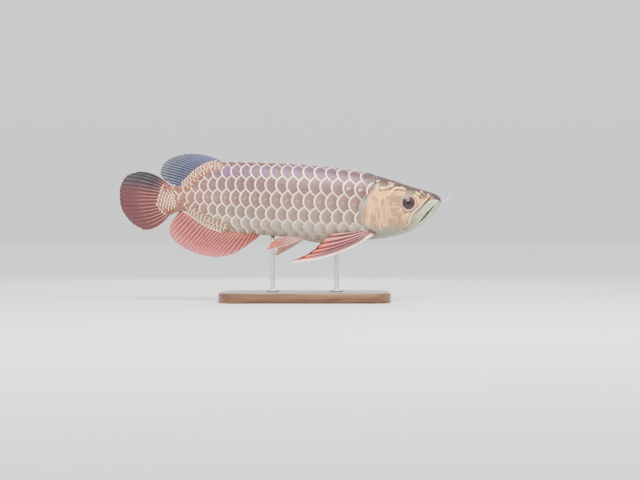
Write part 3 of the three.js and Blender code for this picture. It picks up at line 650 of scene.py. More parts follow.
def head_tone(u, z):
    """Head colours: dusky skull, pinkish cheek, golden gill cover, and pale greenish jaws and throat, each a
    soft area in side view."""
    mottle = 1.5 * noise(u / 5, z / 5, 11)
    patches = noise(u / 4.5, z / 6, 61)
    stripes = noise(u / 3.2, z / 15, 21)
    streaks = noise(u / 2, z / 8, 41)
    under_back = z - back_line(u)
    cover, plate = inside(u, z, GILL_COVER), inside(u, z, JAW_PLATE)
    on_cover, on_plate = step(0, 3, cover), step(-0.6, 0.5, plate)
    jaw = step(0.4, -0.8, mouth_side(u, z)) * step(53, 44, u)
    gap, along = distance_to(u, z, MOUTH_LINE)
    slit = (1 - step(gape(along) * 0.7, gape(along) * 1.3, gap)) * step(46, 38, u)
    ring = eye_reach(u, z)
    crease = bell(distance_to(u, z, JAW_FOLD)[0], np.interp(u, [16, 27, 40], [2.0, 1.3, 0.9]))
    dark_areas = [
        (0.8 * step(1.3, 0.6, np.hypot((u - station) / length, (z - height) / depth)), code)
        for code, station, height, length, depth in DARK_AREAS
    ]
    return layered(even_tone("#a47a56", u), [
        # cheek
        (step(12, -14, z - 0.1 * u) * 0.5, "#aa805a"),
        (0.6 * step(0.05, 0.5, patches), "#deb080"),
        (0.5 * step(0.05, 0.6, -patches), "#7e5b4a"),
        # skull and snout
        (step(-4, 3, z - np.interp(u, [0, 14, 42, 92], [1, 3, 9, 20]) - mottle), "#463a34"),
        (step(-9, -2, under_back), "#44363a"),
        (step(-2.6, -0.3, under_back), "#493540"),
        (step(17, 6, u) * step(-5, 1, z), "#3d333f"),
        *dark_areas,
        # gill cover and its bluish rear rim
        (step(-1, 2.5, cover), "#b08058"),
        (on_cover * step(0.05, 0.5, stripes), "#efba7c"),
        (on_cover * step(0.1, 0.6, -stripes) * 0.85, "#754f3c"),
        (on_cover * step(0.1, 0.5, streaks) * 0.6, "#f0bc7c"),
        (on_cover * step(0.15, 0.6, -streaks) * 0.5, "#855f4a"),
        (step(0.5, 3, cover) * bell(cover - 3.2, 2.4) * step(101, 106, u) * step(-15, -3, z), "#87a8a2"),
        (step(-2, 0, cover) * bell(cover - 0.4, 1.7) * step(98, 106, u), "#7f857e"),
        # throat
        (step(-30, -45, z - 0.04 * (u - 60) + mottle), "#818378"),
        (step(-6, -1, belly_line(u) - z) * step(24, 40, u) * step(112, 80, u), "#959d8e"),
        # upper jaw plate, then the lower jaw
        (on_plate, "#a7af93"),
        (on_plate * step(27, 44, u) * 0.85, "#78755f"),
        (bell(plate - 1.1, 0.9) * step(50, 42, u), "#c7c9b5"),
        (jaw, "#a4bd9b"),
        (jaw * step(16, 6, u) * 0.6, "#7f8d78"),
        (jaw * step(34, 52, u), "#a5a594"),
        # mouth: painted shade in the open gape and along the closed lip line
        (slit * (0.35 + 0.65 * step(0.42, 0.52, along)), "#343934"),
        (bell(gap, 0.6) * step(38, 46, u) * 0.5, "#5f5a4f"),
        # rings round the eye
        (bell(ring - 9.8, 0.6), "#eacab0"),
        (bell(ring - 12, 1.2) * 0.5, "#81685e"),
        # painted shade below and behind the eye
        (bell(ring - 12.4, 1.8) * step(-6, -12, z) * 0.6, "#6f5e4e"),
        # painted shade in the fold over the upper jaw
        (crease * (0.5 + 0.5 * step(46, 34, u)) * step(55, 48, u), "#2c1c18"),
    ])


MARK_WIDTH = 1.25  # mm of brush for one of width
AS_DRAWN = (0, 0)
SETTLED = (0.7, -1.1)  # mm back and mm up from where they are drawn, so 1.1 lower
HEAD_MARKS = (
    # how far a group is moved, and its marks: colour, width, taper, points in side view
    (AS_DRAWN, [
        # painted highlight along the upper lip of the fold over the upper jaw
        ("#ffd39c", 1.4, 0.3, [
            (18, 4.6), (24, -2), (31.5, -10.4), (40.6, -18.4), (44.6, -25), (46.8, -33), (52.6, -38.6),
        ]),
    ]),
    (SETTLED, [
        ("#ffcd7a", 2.0, 0.5, [
            (86.6, 27.3), (91.8, 25.6), (94, 21.8), (92.7, 18.6), (89.4, 19.3), (88, 22.6),
        ]),
        ("#ffc36f", 3.0, 0.5, [(78.5, 17.4), (82, 16.6), (85.5, 17.6)]),
        ("#ffcd7a", 1.8, 0.5, [(76.3, 15.2), (74.8, 18.4), (71.4, 20.3), (65.4, 23.5)]),
        ("#febc6b", 1.5, 0.5, [(73.5, 24.4), (68.4, 23.6)]),
        ("#febc6b", 1.6, 0.5, [(71.5, 19.4), (66.2, 19.8)]),
        ("#ffd071", 2.3, 0.4, [(69, 14.4), (64.4, 16.8), (58.6, 17.2), (51.8, 16.2), (50.4, 14.6)]),
        ("#fbb556", 6.5, 0.6, [(88.5, 9.4), (82, 8.4), (75, 9.6), (70.4, 12.4)]),
        ("#ffd071", 2.0, 0.3, [
            (88.6, 14.6), (92.2, 9), (90, 4.4), (83.4, 2.2), (78, 5.4), (72.4, 10.6), (67, 12.8),
        ]),
        ("#ffc566", 3.2, 0.5, [(61.3, 7.4), (56, 9), (51.2, 10.6)]),
        ("#ffc168", 1.6, 0.5, [(63.6, 11), (57.5, 12.2)]),
        # these three dark strokes are painted shade between the golden marks on the crown
        ("#3f261c", 1.4, 0.5, [(87.4, 14), (81, 13.4), (74.6, 14.8)]),
        ("#321d17", 1.3, 0.5, [(67, 13.2), (60.4, 14.4), (53.6, 14.2)]),
        ("#4b2c23", 1.2, 0.6, [(77, 12.2), (71, 15.6), (66.4, 18.4)]),
        ("#ffd07e", 2.6, 0.5, [(38.4, 7.6), (34.6, 4), (32.2, 0.4), (31.8, -4.6)]),
        ("#ffca83", 2.2, 0.4, [(35.8, 11.4), (32.4, 9.4), (29.6, 8.6)]),
        ("#ffca83", 1.9, 0.4, [(28.6, 12.6), (26.6, 11.2)]),
        ("#ffd692", 2.0, 0.4, [(25.4, 8.8), (24, 7)]),
        ("#ffe1a3", 2.3, 0.3, [(18.8, 8.2), (17.2, 6.6)]),
        ("#ffca83", 1.9, 0.4, [(29, 0.9), (27.8, -0.9)]),
        # these two dark strokes are painted shade between the golden marks on the snout
        ("#412a24", 1.4, 0.5, [(32.6, 7), (29.8, 3.4), (29.4, -0.6)]),
        ("#4e3630", 1.2, 0.5, [(27, 9.4), (22.6, 5.4)]),
    ]),
    (AS_DRAWN, [
        ("#d8a074", 5.2, 0.6, [(75.4, 1), (76, -9), (73.4, -19)]),
        ("#d8a47a", 4.6, 0.6, [(84.6, -23), (83, -30), (80.5, -38)]),
        ("#e4ac70", 5.2, 0.6, [(101, -1), (101.6, -12), (100, -24)]),
        # painted shadow at the upper rear edge of the gill cover
        ("#4c4644", 3.2, 0.5, [(102.5, 8.5), (106.4, 3), (108.8, -2)]),
        # painted shade beside the golden marks on the crown
        ("#3a2c28", 2.2, 0.5, [(68.5, 18), (60, 19), (50, 17.2)]),
    ]),
    (SETTLED, [
        ("#f0ae6d", 1.4, 0.5, [(72.4, -9.2), (64, -8.8), (57.4, -9.4)]),
        ("#ffc777", 1.9, 0.4, [(57.4, -10.8), (56.8, -13.4), (59.6, -15)]),
        ("#ffc36f", 2.4, 0.5, [(54.4, -22.4), (49.4, -20.6), (43.6, -18.8)]),
        ("#785827", 1.6, 0.6, [(54, -17.4), (48, -17.2)]),
        ("#ffbf80", 1.5, 0.4, [(78.3, 5.4), (78.2, -10), (75, -23.8)]),
        ("#ffc282", 1.8, 0.3, [(81.8, -8.6), (84.2, -24), (86.2, -31), (84.8, -40), (82.6, -42)]),
        ("#f8b676", 1.3, 0.5, [(81, -15), (77.6, -26), (74.6, -32)]),
        ("#fdbe75", 1.2, 0.5, [(83, -33), (77.6, -35), (75.6, -31)]),
    ]),
)


def skin_tone(u, z):
    """The ground colours, ahead of the scales the head's colours under its wavy, patchy marks, and a dark
    stain round the root of the pectoral fin, a tilted ellipse in side view."""
    waver = 0.8 * noise(u / 4, z / 4, 5, 2)
    patchy = 0.66 + 0.34 * step(-0.7, 0.2, noise(u / 2.5, z / 2.5, 17, 2))
    front = layered(head_tone(u, z), [
        (patchy * stroke(u + waver, z - waver, np.add(points, moved), width * MARK_WIDTH, taper), code)
        for moved, marks in HEAD_MARKS
        for code, width, taper, points in marks
    ])
    tone = blend(body_tone(u, z), front, step(3, -2, u - head_rear(z))[..., None])
    du, dz = u - 97, z + 43.6
    root = np.hypot((0.92 * du + 0.39 * dz) / 8, (0.92 * dz - 0.39 * du) / 2.4)
    return layered(tone, [(0.9 * step(1.4, 0.4, root), "#5e3029")])


# Varnished soft skin over bone: a smooth, wet-looking surface with faint mottling and fine pores
def fish_skin(tree):
    mottle = object_noise(tree, 3.5, 4, 0.6)
    tone = stained(tree, attribute(tree, "Tone"), mottle, 0.35, 0.7, 0.22, "#5c4038")
    return {
        "Base Color": stained(tree, tone, object_noise(tree, 1.6, 3), 0.5, 0.75, 0.16, "#f0dcc0"),
        "Roughness": ranged(tree, mottle, 0.3, 0.7, 0.34, 0.5),
        "Normal": bumped(tree, object_noise(tree, 0.9, 3), 0.25, 0.25),
    }


varnished_skin = new_material("varnished_fish_skin", {
    "IOR": 1.3, "Coat Weight": 0.06, "Coat Roughness": 0.14, "Metallic": 0.06,
    "Subsurface Weight": 0.06, "Subsurface Scale": 0.004,
}, fish_skin)
SKIN_COLUMNS = 320
SNOUT_RINGS = 0.3 * np.arange(1, 10)
RING_RUNS = ((3, 118, 0.56), (118, 146, 1.4), (146, SKIN_END, 3.2))  # from, to, and mm between rings


def skin():
    """One closed skin from the snout to the tail stalk: rings of even shares of the girth at close stations
    on the head and wider ones under the scales, raised by the relief."""
    stations = np.concatenate([SNOUT_RINGS, *(np.arange(*run) for run in RING_RUNS), [SKIN_END]])
    shares = -1 + 2 * np.arange(SKIN_COLUMNS) / SKIN_COLUMNS
    u, share = np.meshgrid(stations, shares, indexing="ij")
    flat = skin_point(u, share)
    points = skin_point(u, share, skin_relief(*flat) * step(0, 2.5, u))
    ends = np.array([[0.0, 0.0, -1.3], [SKIN_END + 2.0, 0.0, 1.4]])
    points = [np.concatenate([p.ravel(), ends[:, k]]) for k, p in enumerate(points)]
    shape = (len(stations), SKIN_COLUMNS)
    piece = new_piece(
        "skin", place(*points), tube_faces(*shape), varnished_skin,
        ("head", "lower_jaw", "upper_jaw_left", "upper_jaw_right", "gill_cover_left", "gill_cover_right",
         "body", "tail_stalk"),
        tube_map(*shape),
    )
    tone = skin_tone(flat[0], flat[2])
    give(piece, Tone=np.concatenate([tone.reshape(-1, 3), [tone[0].mean(0), tone[-1].mean(0)]]))


skin()


# Scales: a clear horny plate over pearly tissue, so the pale rim shines and the middle is duller, with
# growth rings that follow the free edge
def fish_scale(tree):
    distance = attribute(tree, "EdgeDistance", "Fac")
    grain, blotch = object_noise(tree, 2.2, 4, 0.8), object_noise(tree, 3.2, 4, 1.0)
    tone = stained(tree, attribute(tree, "Tone"), grain, 0.3, 0.75, 0.22, "#b4948a")
    tone = stained(tree, tone, blotch, 0.5, 0.72, 0.4, "#54383a")
    wavy = worked_out(tree, "ADD", distance, worked_out(tree, "MULTIPLY", object_noise(tree, 5, 2), 0.7))
    return {
        "Base Color": mixed(tree, ranged(tree, wavy, 3.1, 2.2), tone, attribute(tree, "Rim")),
        "Roughness": ranged(tree, distance, 1.5, 4, 0.24, 0.36),
        "Normal": bumped(tree, ripples(tree, distance, 5.2), 0.2, 0.12),
    }


pearly_scale = new_material("pearly_fish_scale", {
    "IOR": 1.36, "Metallic": 0.15, "Coat Weight": 0.1, "Coat Roughness": 0.15,
}, fish_scale)


def scale_mesh(name, upper, lower, column, row, chart):
    """Closed plates: the whole grid of the upper face, and of the lower one only its front and free edges,
    joined by walls. Each plate has its own patch of the map, by its column and row. Along the patch comes
    the upper face, then the lower face from its free edge to its front edge."""
    front, back = place(*upper), place(*lower)
    count, n, m = front.shape[:3]
    points = np.concatenate([front.reshape(count, -1, 3), back[:, 0], back[:, -1]], axis=1)
    grid = sheet_faces(n, m)[0]
    step_m = np.arange(m)
    root, edge, tip = n * m + step_m, n * m + m + step_m, (n - 1) * m + step_m
    under = np.stack([root[:-1], root[1:], edge[1:], edge[:-1]], -1)
    rear_wall = np.stack([tip[:-1], edge[:-1], edge[1:], tip[1:]], -1)
    front_wall = np.stack([root[:-1], step_m[:-1], step_m[1:], root[1:]], -1)
    left_wall = np.concatenate([np.arange(n) * m, [edge[0], root[0]]])[::-1]
    right_wall = np.concatenate([np.arange(n) * m + m - 1, [edge[-1], root[-1]]])
    shapes = [shape[::-1] for shape in [*grid, *under, *rear_wall, *front_wall, left_wall, right_wall]]
    i, j = np.divmod(np.arange(n * m), m)
    place_s = np.concatenate([0.86 * i / (n - 1), np.full(m, 0.98), np.full(m, 0.9)])
    place_t = np.concatenate([j, step_m, step_m]) / (m - 1)
    corners = np.concatenate(shapes)
    own_s, own_t = place_s[corners], place_t[corners]
    quads_before = len(grid) + len(under) + len(rear_wall)
    own_s[4 * quads_before:4 * (quads_before + len(front_wall))] = 0.98
    patch_u = ((column + 2)[:, None] + 0.04 + 0.92 * own_s[None]) / chart[0]
    patch_v = (row[:, None] + 0.05 + 0.9 * own_t[None]) / chart[1]
    faces = [(s + k * points.shape[1]).tolist() for k in range(count) for s in shapes]
    piece = new_piece(name, points, faces, pearly_scale, (), np.stack([patch_u, patch_v], -1))

    def give_plates(**named):
        """Keeps values of the upper grid, with those of its two ends for the lower face."""
        for key, values in named.items():
            full = values.reshape(count, n * m, *values.shape[3:])
            give(piece, **{key: np.concatenate([full, values[:, 0], values[:, -1]], axis=1)})

    return give_plates


# Large scales
EDGE_DISTANCES = np.array([28, 19, 12.5, 8, 4.8, 2.8, 1.7, 0.8, 0.0])  # mm ahead of the free edge
SCALE_REACH = 0.8  # half width of a scale, in row widths
SCALE_SIDES = 12
LEAST_SCALE = 5.5  # narrower ones are left out
CHART_COLUMNS = 24
ROW_CODES = ("#5f3741", "#6b4c60", "#704b4a", "#82615b", "#887269")  # from the back down


def belly_fade(row):
    """How much of the pale rim and of the raised edge a row shows: none along the shiny belly."""
    depth = np.abs(np.where(row > 7, ROWS - row, row))
    return np.interp(depth, [0, 4, 5, 6, 7], [1, 1, 0.85, 0.3, 0])


def large_scales(name, rows):
    """Overlapping scales in rows. One scale is a thin curved plate: its free edge is an arc whose ends bend
    forwards, its front end lies under the scales ahead, and it rises evenly to its free edge."""
    lattice = [(column, row) for row in rows for column in np.arange(-1.5 + (row % 2) / 2, 20)]
    column, row = np.array(lattice).T
    edge = free_edge(column)
    middle, width = row_places(rows, row, edge)
    width_mm = width * np.interp(edge, TABLE_STATIONS, HALF_GIRTHS)
    height = flat_skin(edge, np.abs(middle - 2 * np.round(middle / 2)))[1]
    keep = (width_mm > LEAST_SCALE) & (edge > head_rear(height) + 2)
    column, row = column[keep], row[keep]
    edge, width_mm, pitch, fade = (
        part[:, None, None] for part in (edge[keep], width_mm[keep], column_pitch(column), belly_fade(row))
    )
    across = np.linspace(-1, 1, SCALE_SIDES + 1) * SCALE_REACH
    size = np.minimum(1, pitch / 15)
    arc = 0.64 * np.minimum(pitch, 0.75 * width_mm) * (np.abs(across) / 0.675) ** 2.1
    u = edge + 3 * width_mm / 20 - arc - EDGE_DISTANCES[:, None] * size
    distance = np.broadcast_to(EDGE_DISTANCES[:, None] * size, u.shape)
    middle, width = row_places(rows, row, u)
    share = middle + across * width
    top = 1.1 * np.minimum(1, width_mm / 17) * (0.1 + 0.9 * fade)
    length = EDGE_DISTANCES[0] * size
    lift = top - (top + 0.75) * (distance + arc) / length
    lift += 0.14 * fade * bell(distance - 0.7, 0.9)
    lift += 0.2 * (1 - (across / SCALE_REACH) ** 2) * step(0, 6, distance)
    lift -= 1.4 * step(366, 380, u)
    lift = blend(lift, -1.9, step(3.5, -1.5, u - head_rear(skin_point(u, share)[2])))
    upper = skin_point(u, share, lift)
    lower = skin_point(u, share, lift - (0.42 - 0.14 * distance / length))
    give_plates = scale_mesh(name, upper, lower, column, row, (CHART_COLUMNS, ROWS))
    tone, rim = scale_tones(row[:, None, None], u, upper[2], distance, across)
    give_plates(Tone=tone, Rim=rim, EdgeDistance=distance / size)


def scale_tones(row, u, z, distance, across):
    """Centre and rim colours: a painted violet sheen over the upper flank, mauve to grey down the side,
    plain grey at the belly and rosy towards the fins, and painted shade under the rim of the scale ahead."""
    depth = np.where(row > 7, ROWS - row, row) + 0 * u
    # Painted violet sheen: the scales' iridescent shine painted as colour over the upper rows, patchy along
    # the body
    patch = bell(distance - 6.5, 4) * bell(across - 0.1, 0.36) * step(130, 150, u)
    patch = patch * (0.35 + 0.65 * step(-0.3, 0.4, noise(u / 19, row * 3.0 + 0 * u, 31)))
    nape = step(116, 101, u) * step(1.7, 0.8, depth)
    tone = layered(body_tone(u, z), [
        *((np.clip(1 - np.abs(depth - level), 0, 1) * 0.85, code) for level, code in enumerate(ROW_CODES)),
        (0.85 * patch * bell(depth - 1, 0.45), "#7650a2"),
        (0.2 * patch * bell(depth - 2, 0.5), "#7b678e"),
        (0.6 * step(296, 366, u), "#935a53"),
        # painted shadow on the scales just behind the rear edge of the gill cover
        (0.5 * step(10, 2, u - head_rear(z)) * step(16, 8, z) * step(-30, -14, z), "#4a3540"),
        (0.85 * nape, "#463a38"),
    ])
    level = np.interp(u, [110, 165, 215, 265, 340], [0.86, 0.96, 0.9, 0.66, 0.78])
    tone = tone * (level * (1 - 0.25 * step(2.6, 1, depth) * step(240, 190, u)))[..., None]
    # painted shade under the rim of the scale ahead: darker 4 to 14 mm ahead of the free edge
    tone = layered(tone, [(step(4, 14, distance) * 0.5, "#513533")])
    rim = layered(even_tone("#ffdccb", u), [
        (step(2.5, 4.5, depth), "#f8e4c8"),
        (step(0.8, 0, depth), "#e0b8b0"),
        (0.75 * step(300, 370, u), "#ffc498"),
    ])
    shown = blend(belly_fade(row) * step(-43, -30, z), step(7.2, 5.6, depth), step(235, 268, u))
    rim = blend(tone, rim, (shown * (1 - nape))[..., None])
    # painted highlights: small white glint dots on the scales, strong on row 2 near the head and faint along
    # row 3
    painted_glint = (np.abs(distance - 8) < 1.5) & (np.abs(across) < 0.01)
    strength = np.where(depth == 3, 0.16, 0) + np.where((depth == 2) & (u < 140), 0.75, 0)
    return layered(tone, [(strength * painted_glint, "#fff0e8")]), rim


large_scales("scales_left", range(0, 8))
large_scales("scales_right", range(8, 14))


# Fins
def branches(offset, t, width, fork):
    """Height of the rays across the web, from 0 to 1: one ray at its root, which forks at two fifths of its
    length and again near the tip. Offset is how far aside the ray is, in ray spacings, and fork how far the
    branches part."""
    first, second = step(0.38, 0.72, t), step(0.68, 1, t)
    made = np.zeros(t.shape)
    for a in (-1, 1):
        for b in (-1, 1):
            centre = fork * (a * 0.17 * first + b * 0.085 * second)
            made = np.maximum(made, bell(offset - centre, width * (1 - 0.35 * first)))
    return made


def turned_inwards(points, faces):
    """Whether a closed mesh has its faces the wrong way round, by the sign of its volume."""
    a, b, c, d = (points[faces[:, k]] for k in range(4))
    volume = (np.cross(a, b) * c).sum() + (np.cross(a, c) * d).sum()
    return volume < 0


def fin(name, coat, lines, rays, half, per_ray, steps, sway, tones, ray_width=0.13, fork=1.0,
        notch=0.012, mirror=1, pivot=(0, 0), turn=0.0, round_root=False):
    """A fin as a closed sheet. Across it, s runs over the rays and along them t runs from root to tip: each
    ray is a parabola whose middle control point is moved by the bow. Both faces carry the rays as ridges,
    the web ends a little short between them, and the whole waves gently. Lines give root, tip and bow at s;
    half the half thickness of ray and web at the root and the tip; per_ray and steps how fine the mesh is;
    sway the wave's height and its turns across and along; pivot and turn swing the fin in side view."""
    s = np.linspace(0, 1, (rays - 1) * per_ray + 1)[:, None]
    t = (np.linspace(0, 1, steps + 1) ** 0.9)[None, :, None]
    root, tip, bow = (np.stack([line(s) for line in lines[k]], -1) for k in range(3))
    offset = s * (rays - 1) - np.round(s * (rays - 1))
    tip = tip + (root - tip) * (notch * np.sin(math.pi * offset) ** 2)[..., None]
    middle = (root + tip) / 2 + bow
    flat = root * (1 - t) ** 2 + middle * 2 * t * (1 - t) + tip * t * t
    cosine, sine = math.cos(turn), math.sin(turn)
    du, dz = flat[..., 0] - pivot[0], flat[..., 2] - pivot[1]
    flat = np.stack([
        pivot[0] + du * cosine + dz * sine, flat[..., 1], pivot[1] + dz * cosine - du * sine,
    ], -1)
    normal = np.cross(np.gradient(flat, axis=0), np.gradient(flat, axis=1))
    normal /= np.linalg.norm(normal, axis=-1, keepdims=True) + 1e-12
    normal *= np.sign(normal[..., 1].mean() or 1)
    along = t[..., 0] + 0 * s
    ridge = branches(offset, along, ray_width, fork)
    ridge = np.where((s == 0) | (s == 1), 1, ridge)
    ray, web = (blend(*ends, np.sqrt(along)) for ends in half)
    thick = blend(web, ray, ridge)
    if round_root:
        round_off = np.sqrt(np.clip(1 - (2 * s - 1) ** 2, 0.04, 1))
        thick = thick * blend(round_off, 1, step(0, 0.3, along))
    swing = sway[0] * along**1.5 * np.sin(2 * math.pi * (sway[1] * s + sway[2] * along))
    centre = flat + normal * swing[..., None]
    centre[..., 1] *= mirror
    normal[..., 1] *= mirror
    normal *= thick[..., None]
    points = place(*np.stack([centre + normal, centre - normal]).reshape(-1, 3).T)
    n, m = thick.shape
    sheets = sheet_faces(n, m)
    faces = np.concatenate(sheets)
    i, j = np.divmod(faces % (n * m), m)
    is_back = faces >= n * m
    is_back[-len(sheets[2]):] = False
    across = 0.49 * i / (n - 1)
    uvs = np.stack([np.where(is_back, 1 - across, across), j / (m - 1)], -1)
    if turned_inwards(points, faces):
        faces, uvs = faces[:, ::-1], uvs[:, ::-1]
    piece = new_piece(name, points, faces.tolist(), coat, (name.replace("fin_skin", "fin"),), uvs)
    ray_tone, web_tone = tones(s + 0 * along, along)
    kept = {"RayTone": ray_tone, "WebTone": web_tone, "Ray": ridge, "Along": along}
    give(piece, **{key: np.concatenate([values, values]) for key, values in kept.items()})


def lines_of(roots, tips, bow):
    """Root, tip and bow as functions of s. Roots and tips are (s, station, side, height) lists."""
    made = [[smooth_line([(p[0], p[k]) for p in line]) for k in (1, 2, 3)] for line in (roots, tips)]
    return (*made, bow)


def constant(value):
    """A bow that is the same at every s."""
    return lambda s: np.full(s.shape, float(value))


def edge_roots(line, start, end, depth):
    """Roots along the back or belly, let in by a depth."""
    stations = np.linspace(start, end, 8)
    return [(k / 7, u, 0.0, float(line(u)) - depth) for k, u in enumerate(stations)]


# Fin: thin skin stretched over bony rays, so the rays are smooth and the web a little wrinkled and dull
def fin_skin(tree):
    ray = attribute(tree, "Ray", "Fac")
    tone = mixed(tree, ranged(tree, ray, 0.25, 0.75), attribute(tree, "WebTone"), attribute(tree, "RayTone"))
    return {
        "Base Color": stained(tree, tone, object_noise(tree, 4, 3, 0.5), 0.4, 0.75, 0.3, "#4a2426"),
        "Roughness": ranged(tree, ray, 0.2, 0.8, 0.5, 0.34),
        "Normal": bumped(tree, ripples(tree, attribute(tree, "Along", "Fac"), 190.0), 0.2, 0.12),
    }


FIN_CONSTANTS = {
    "IOR": 1.34, "Coat Weight": 0.05, "Coat Roughness": 0.25, "Subsurface Weight": 0.12,
    "Subsurface Scale": 0.002,
}
rosy_fin = new_material("rosy_fin_skin", FIN_CONSTANTS, fin_skin)
slate_fin = new_material("slate_fin_skin", FIN_CONSTANTS, fin_skin)
DORSAL_TIPS = [
    (0, 313, 0, 57), (0.1, 327.4, 0, 62.1), (0.25, 348.4, 0, 64.6), (0.4, 368, 0, 61.7),
    (0.55, 382, 0, 56.1), (0.7, 390.5, 0, 47), (0.85, 392.6, 0, 37.2), (0.94, 386, 0, 27.5),
    (1, 376, 0, 21.5),
]
ANAL_TIPS = [
    (0, 257.3, 0, -54), (0.1, 274, 0, -66.6), (0.17, 292, 0, -76), (0.26, 313, 0, -79.9),
    (0.41, 331, 0, -77.6), (0.63, 351.2, 0, -70.8), (0.74, 364, 0, -63.6), (0.845, 375.4, 0, -53.8),
    (0.91, 380, 0, -45), (0.955, 378.4, 0, -35), (1, 368, 0, -19),
]
TAIL_TIPS = [
    (0, 424, 0, 40), (0.125, 438.8, 0, 35.1), (0.25, 446.8, 0, 24.5), (0.375, 450, 0, 12.6),
    (0.5, 450, 0, 0.7), (0.625, 447.5, 0, -11.9), (0.75, 441.2, 0, -23.1), (0.875, 431.1, 0, -33.6),
    (1, 416.4, 0, -41.8),
]
TAIL_ROOTS = [
    (0, 376, 0, 18.2), (0.25, 377, 0, 10), (0.5, 377, 0, 0.6), (0.75, 377, 0, -9), (1, 376, 0, -17.6),
]
PECTORAL_TIPS = [
    (210.3, -86.6), (201.2, -83.1), (191.4, -78.9), (180.1, -72.2), (171.7, -65.2), (165, -56.8),
    (153, -47.5),
]
PELVIC_TIPS = [(244, -70.5), (242.1, -67), (239, -63.1), (236.2, -58.9), (232, -54.7), (226.4, -51.5)]
# Half thickness of ray and of web in mm, each at the root and the tip
EDGE_FIN_HALF = ((1.7, 0.4), (1.3, 0.22))
TAIL_FIN_HALF = ((4.4, 0.4), (4.0, 0.28))
PAIRED_FIN_HALF = ((1.6, 0.5), (1.0, 0.25))


def fin_tones(along, ray_codes, web_codes, layers):
    """Colours of rays and web. They shift evenly through their codes from the root to the tip. Each layer is
    a mask, then its strength and colour on the rays, then those on the web."""
    made = []
    for k, codes in enumerate((ray_codes, web_codes), 1):
        shift = [(along * (len(codes) - 1) - j, code) for j, code in enumerate(codes[1:])]
        over = [(layer[0] * layer[k][0], layer[k][1]) for layer in layers]
        made.append(layered(even_tone(codes[0], along), shift + over))
    return made


def dorsal_tones(s, along):
    """Steel-blue rays on dark slate web, even and violet over the front."""
    front = step(0.66, 0.12, s) * step(0.05, 0.35, along)
    return fin_tones(
        along, ("#7a6670", "#636a86", "#6a748c", "#64707f"), ("#403141", "#252f4a", "#1a2734", "#15202a"),
        [(front, (0.8, "#5b6284"), (0.9, "#474c70"))],
    )


def anal_tones(s, along):
    """Salmon rays on red-brown web, browner at the front and rosier towards the edge."""
    return fin_tones(
        along, ("#bc7968", "#b96d65", "#b96662", "#c07170"), ("#9b5749", "#7b3634", "#7e3636", "#a14f4f"),
        [(step(0.3, 0.05, s), (0.5, "#96594b"), (0.6, "#612823"))],
    )


def tail_tones(s, along):
    """Pale streaks at the root, a dusky rosy middle and lower lobe, and a dark slate upper lobe."""
    slate = step(0.42, 0.16, s) * step(0.1, 0.4, along)
    return fin_tones(
        along, ("#be8d7e", "#ae6d63", "#884d48", "#572e30", "#4f2830"),
        ("#5b3328", "#4a2524", "#482425", "#4a2528", "#47232d"),
        [(slate, (0.9, "#3e3f4a"), (1, "#12161e"))],
    )


def pectoral_tones(s, along):
    """Broad pink rays parted by dark lines, paler near the body, and a thick pale first ray."""
    middle = bell(s - 0.36, 0.25) * step(0.06, 0.3, along) * step(0.9, 0.65, along)
    root = step(0.2, 0.05, along)
    lead = step(0.1 + 0.3 * root, 0.06 + 0.2 * root, s)
    return fin_tones(
        along, ("#c08478", "#c87e7c", "#c46a68", "#cc5240"), ("#5a2a28", "#461a24", "#421624", "#6a1e18"),
        [
            (step(0.7, 1, s), (0.5, "#bf9284"), (0, "#5a2a28")),
            (middle, (0.85, "#713744"), (0.8, "#22081a")),
            (lead, (1, "#ffddd0"), (1, "#ffd8cc")),
        ],
    )


def pelvic_tones(s, along, pale=0.0):
    """Pale at the root and the rear edge, orange-red rays between, with dark lines. The left fin, whose
    inner side is seen, is painted a paler dusky pink: painted light against the shade that the body and
    the right fin cast on it."""
    return fin_tones(
        along, ("#c9a7a1", "#c2948b", "#c26252", "#c65642"), ("#a6847c", "#8a5a54", "#6d3230", "#7a3630"),
        [
            (step(0.45, 0.95, s), (0.7, "#c5a39f"), (0.6, "#98746f")),
            (step(0.05, 0.01, s), (1, "#e8c4b8"), (1, "#e8c4b8")),
            # painted light: the left fin made paler against the shade of the body and the right fin
            (np.full(s.shape, pale), (1, "#e2b4aa"), (1, "#c08c84")),
        ],
    )


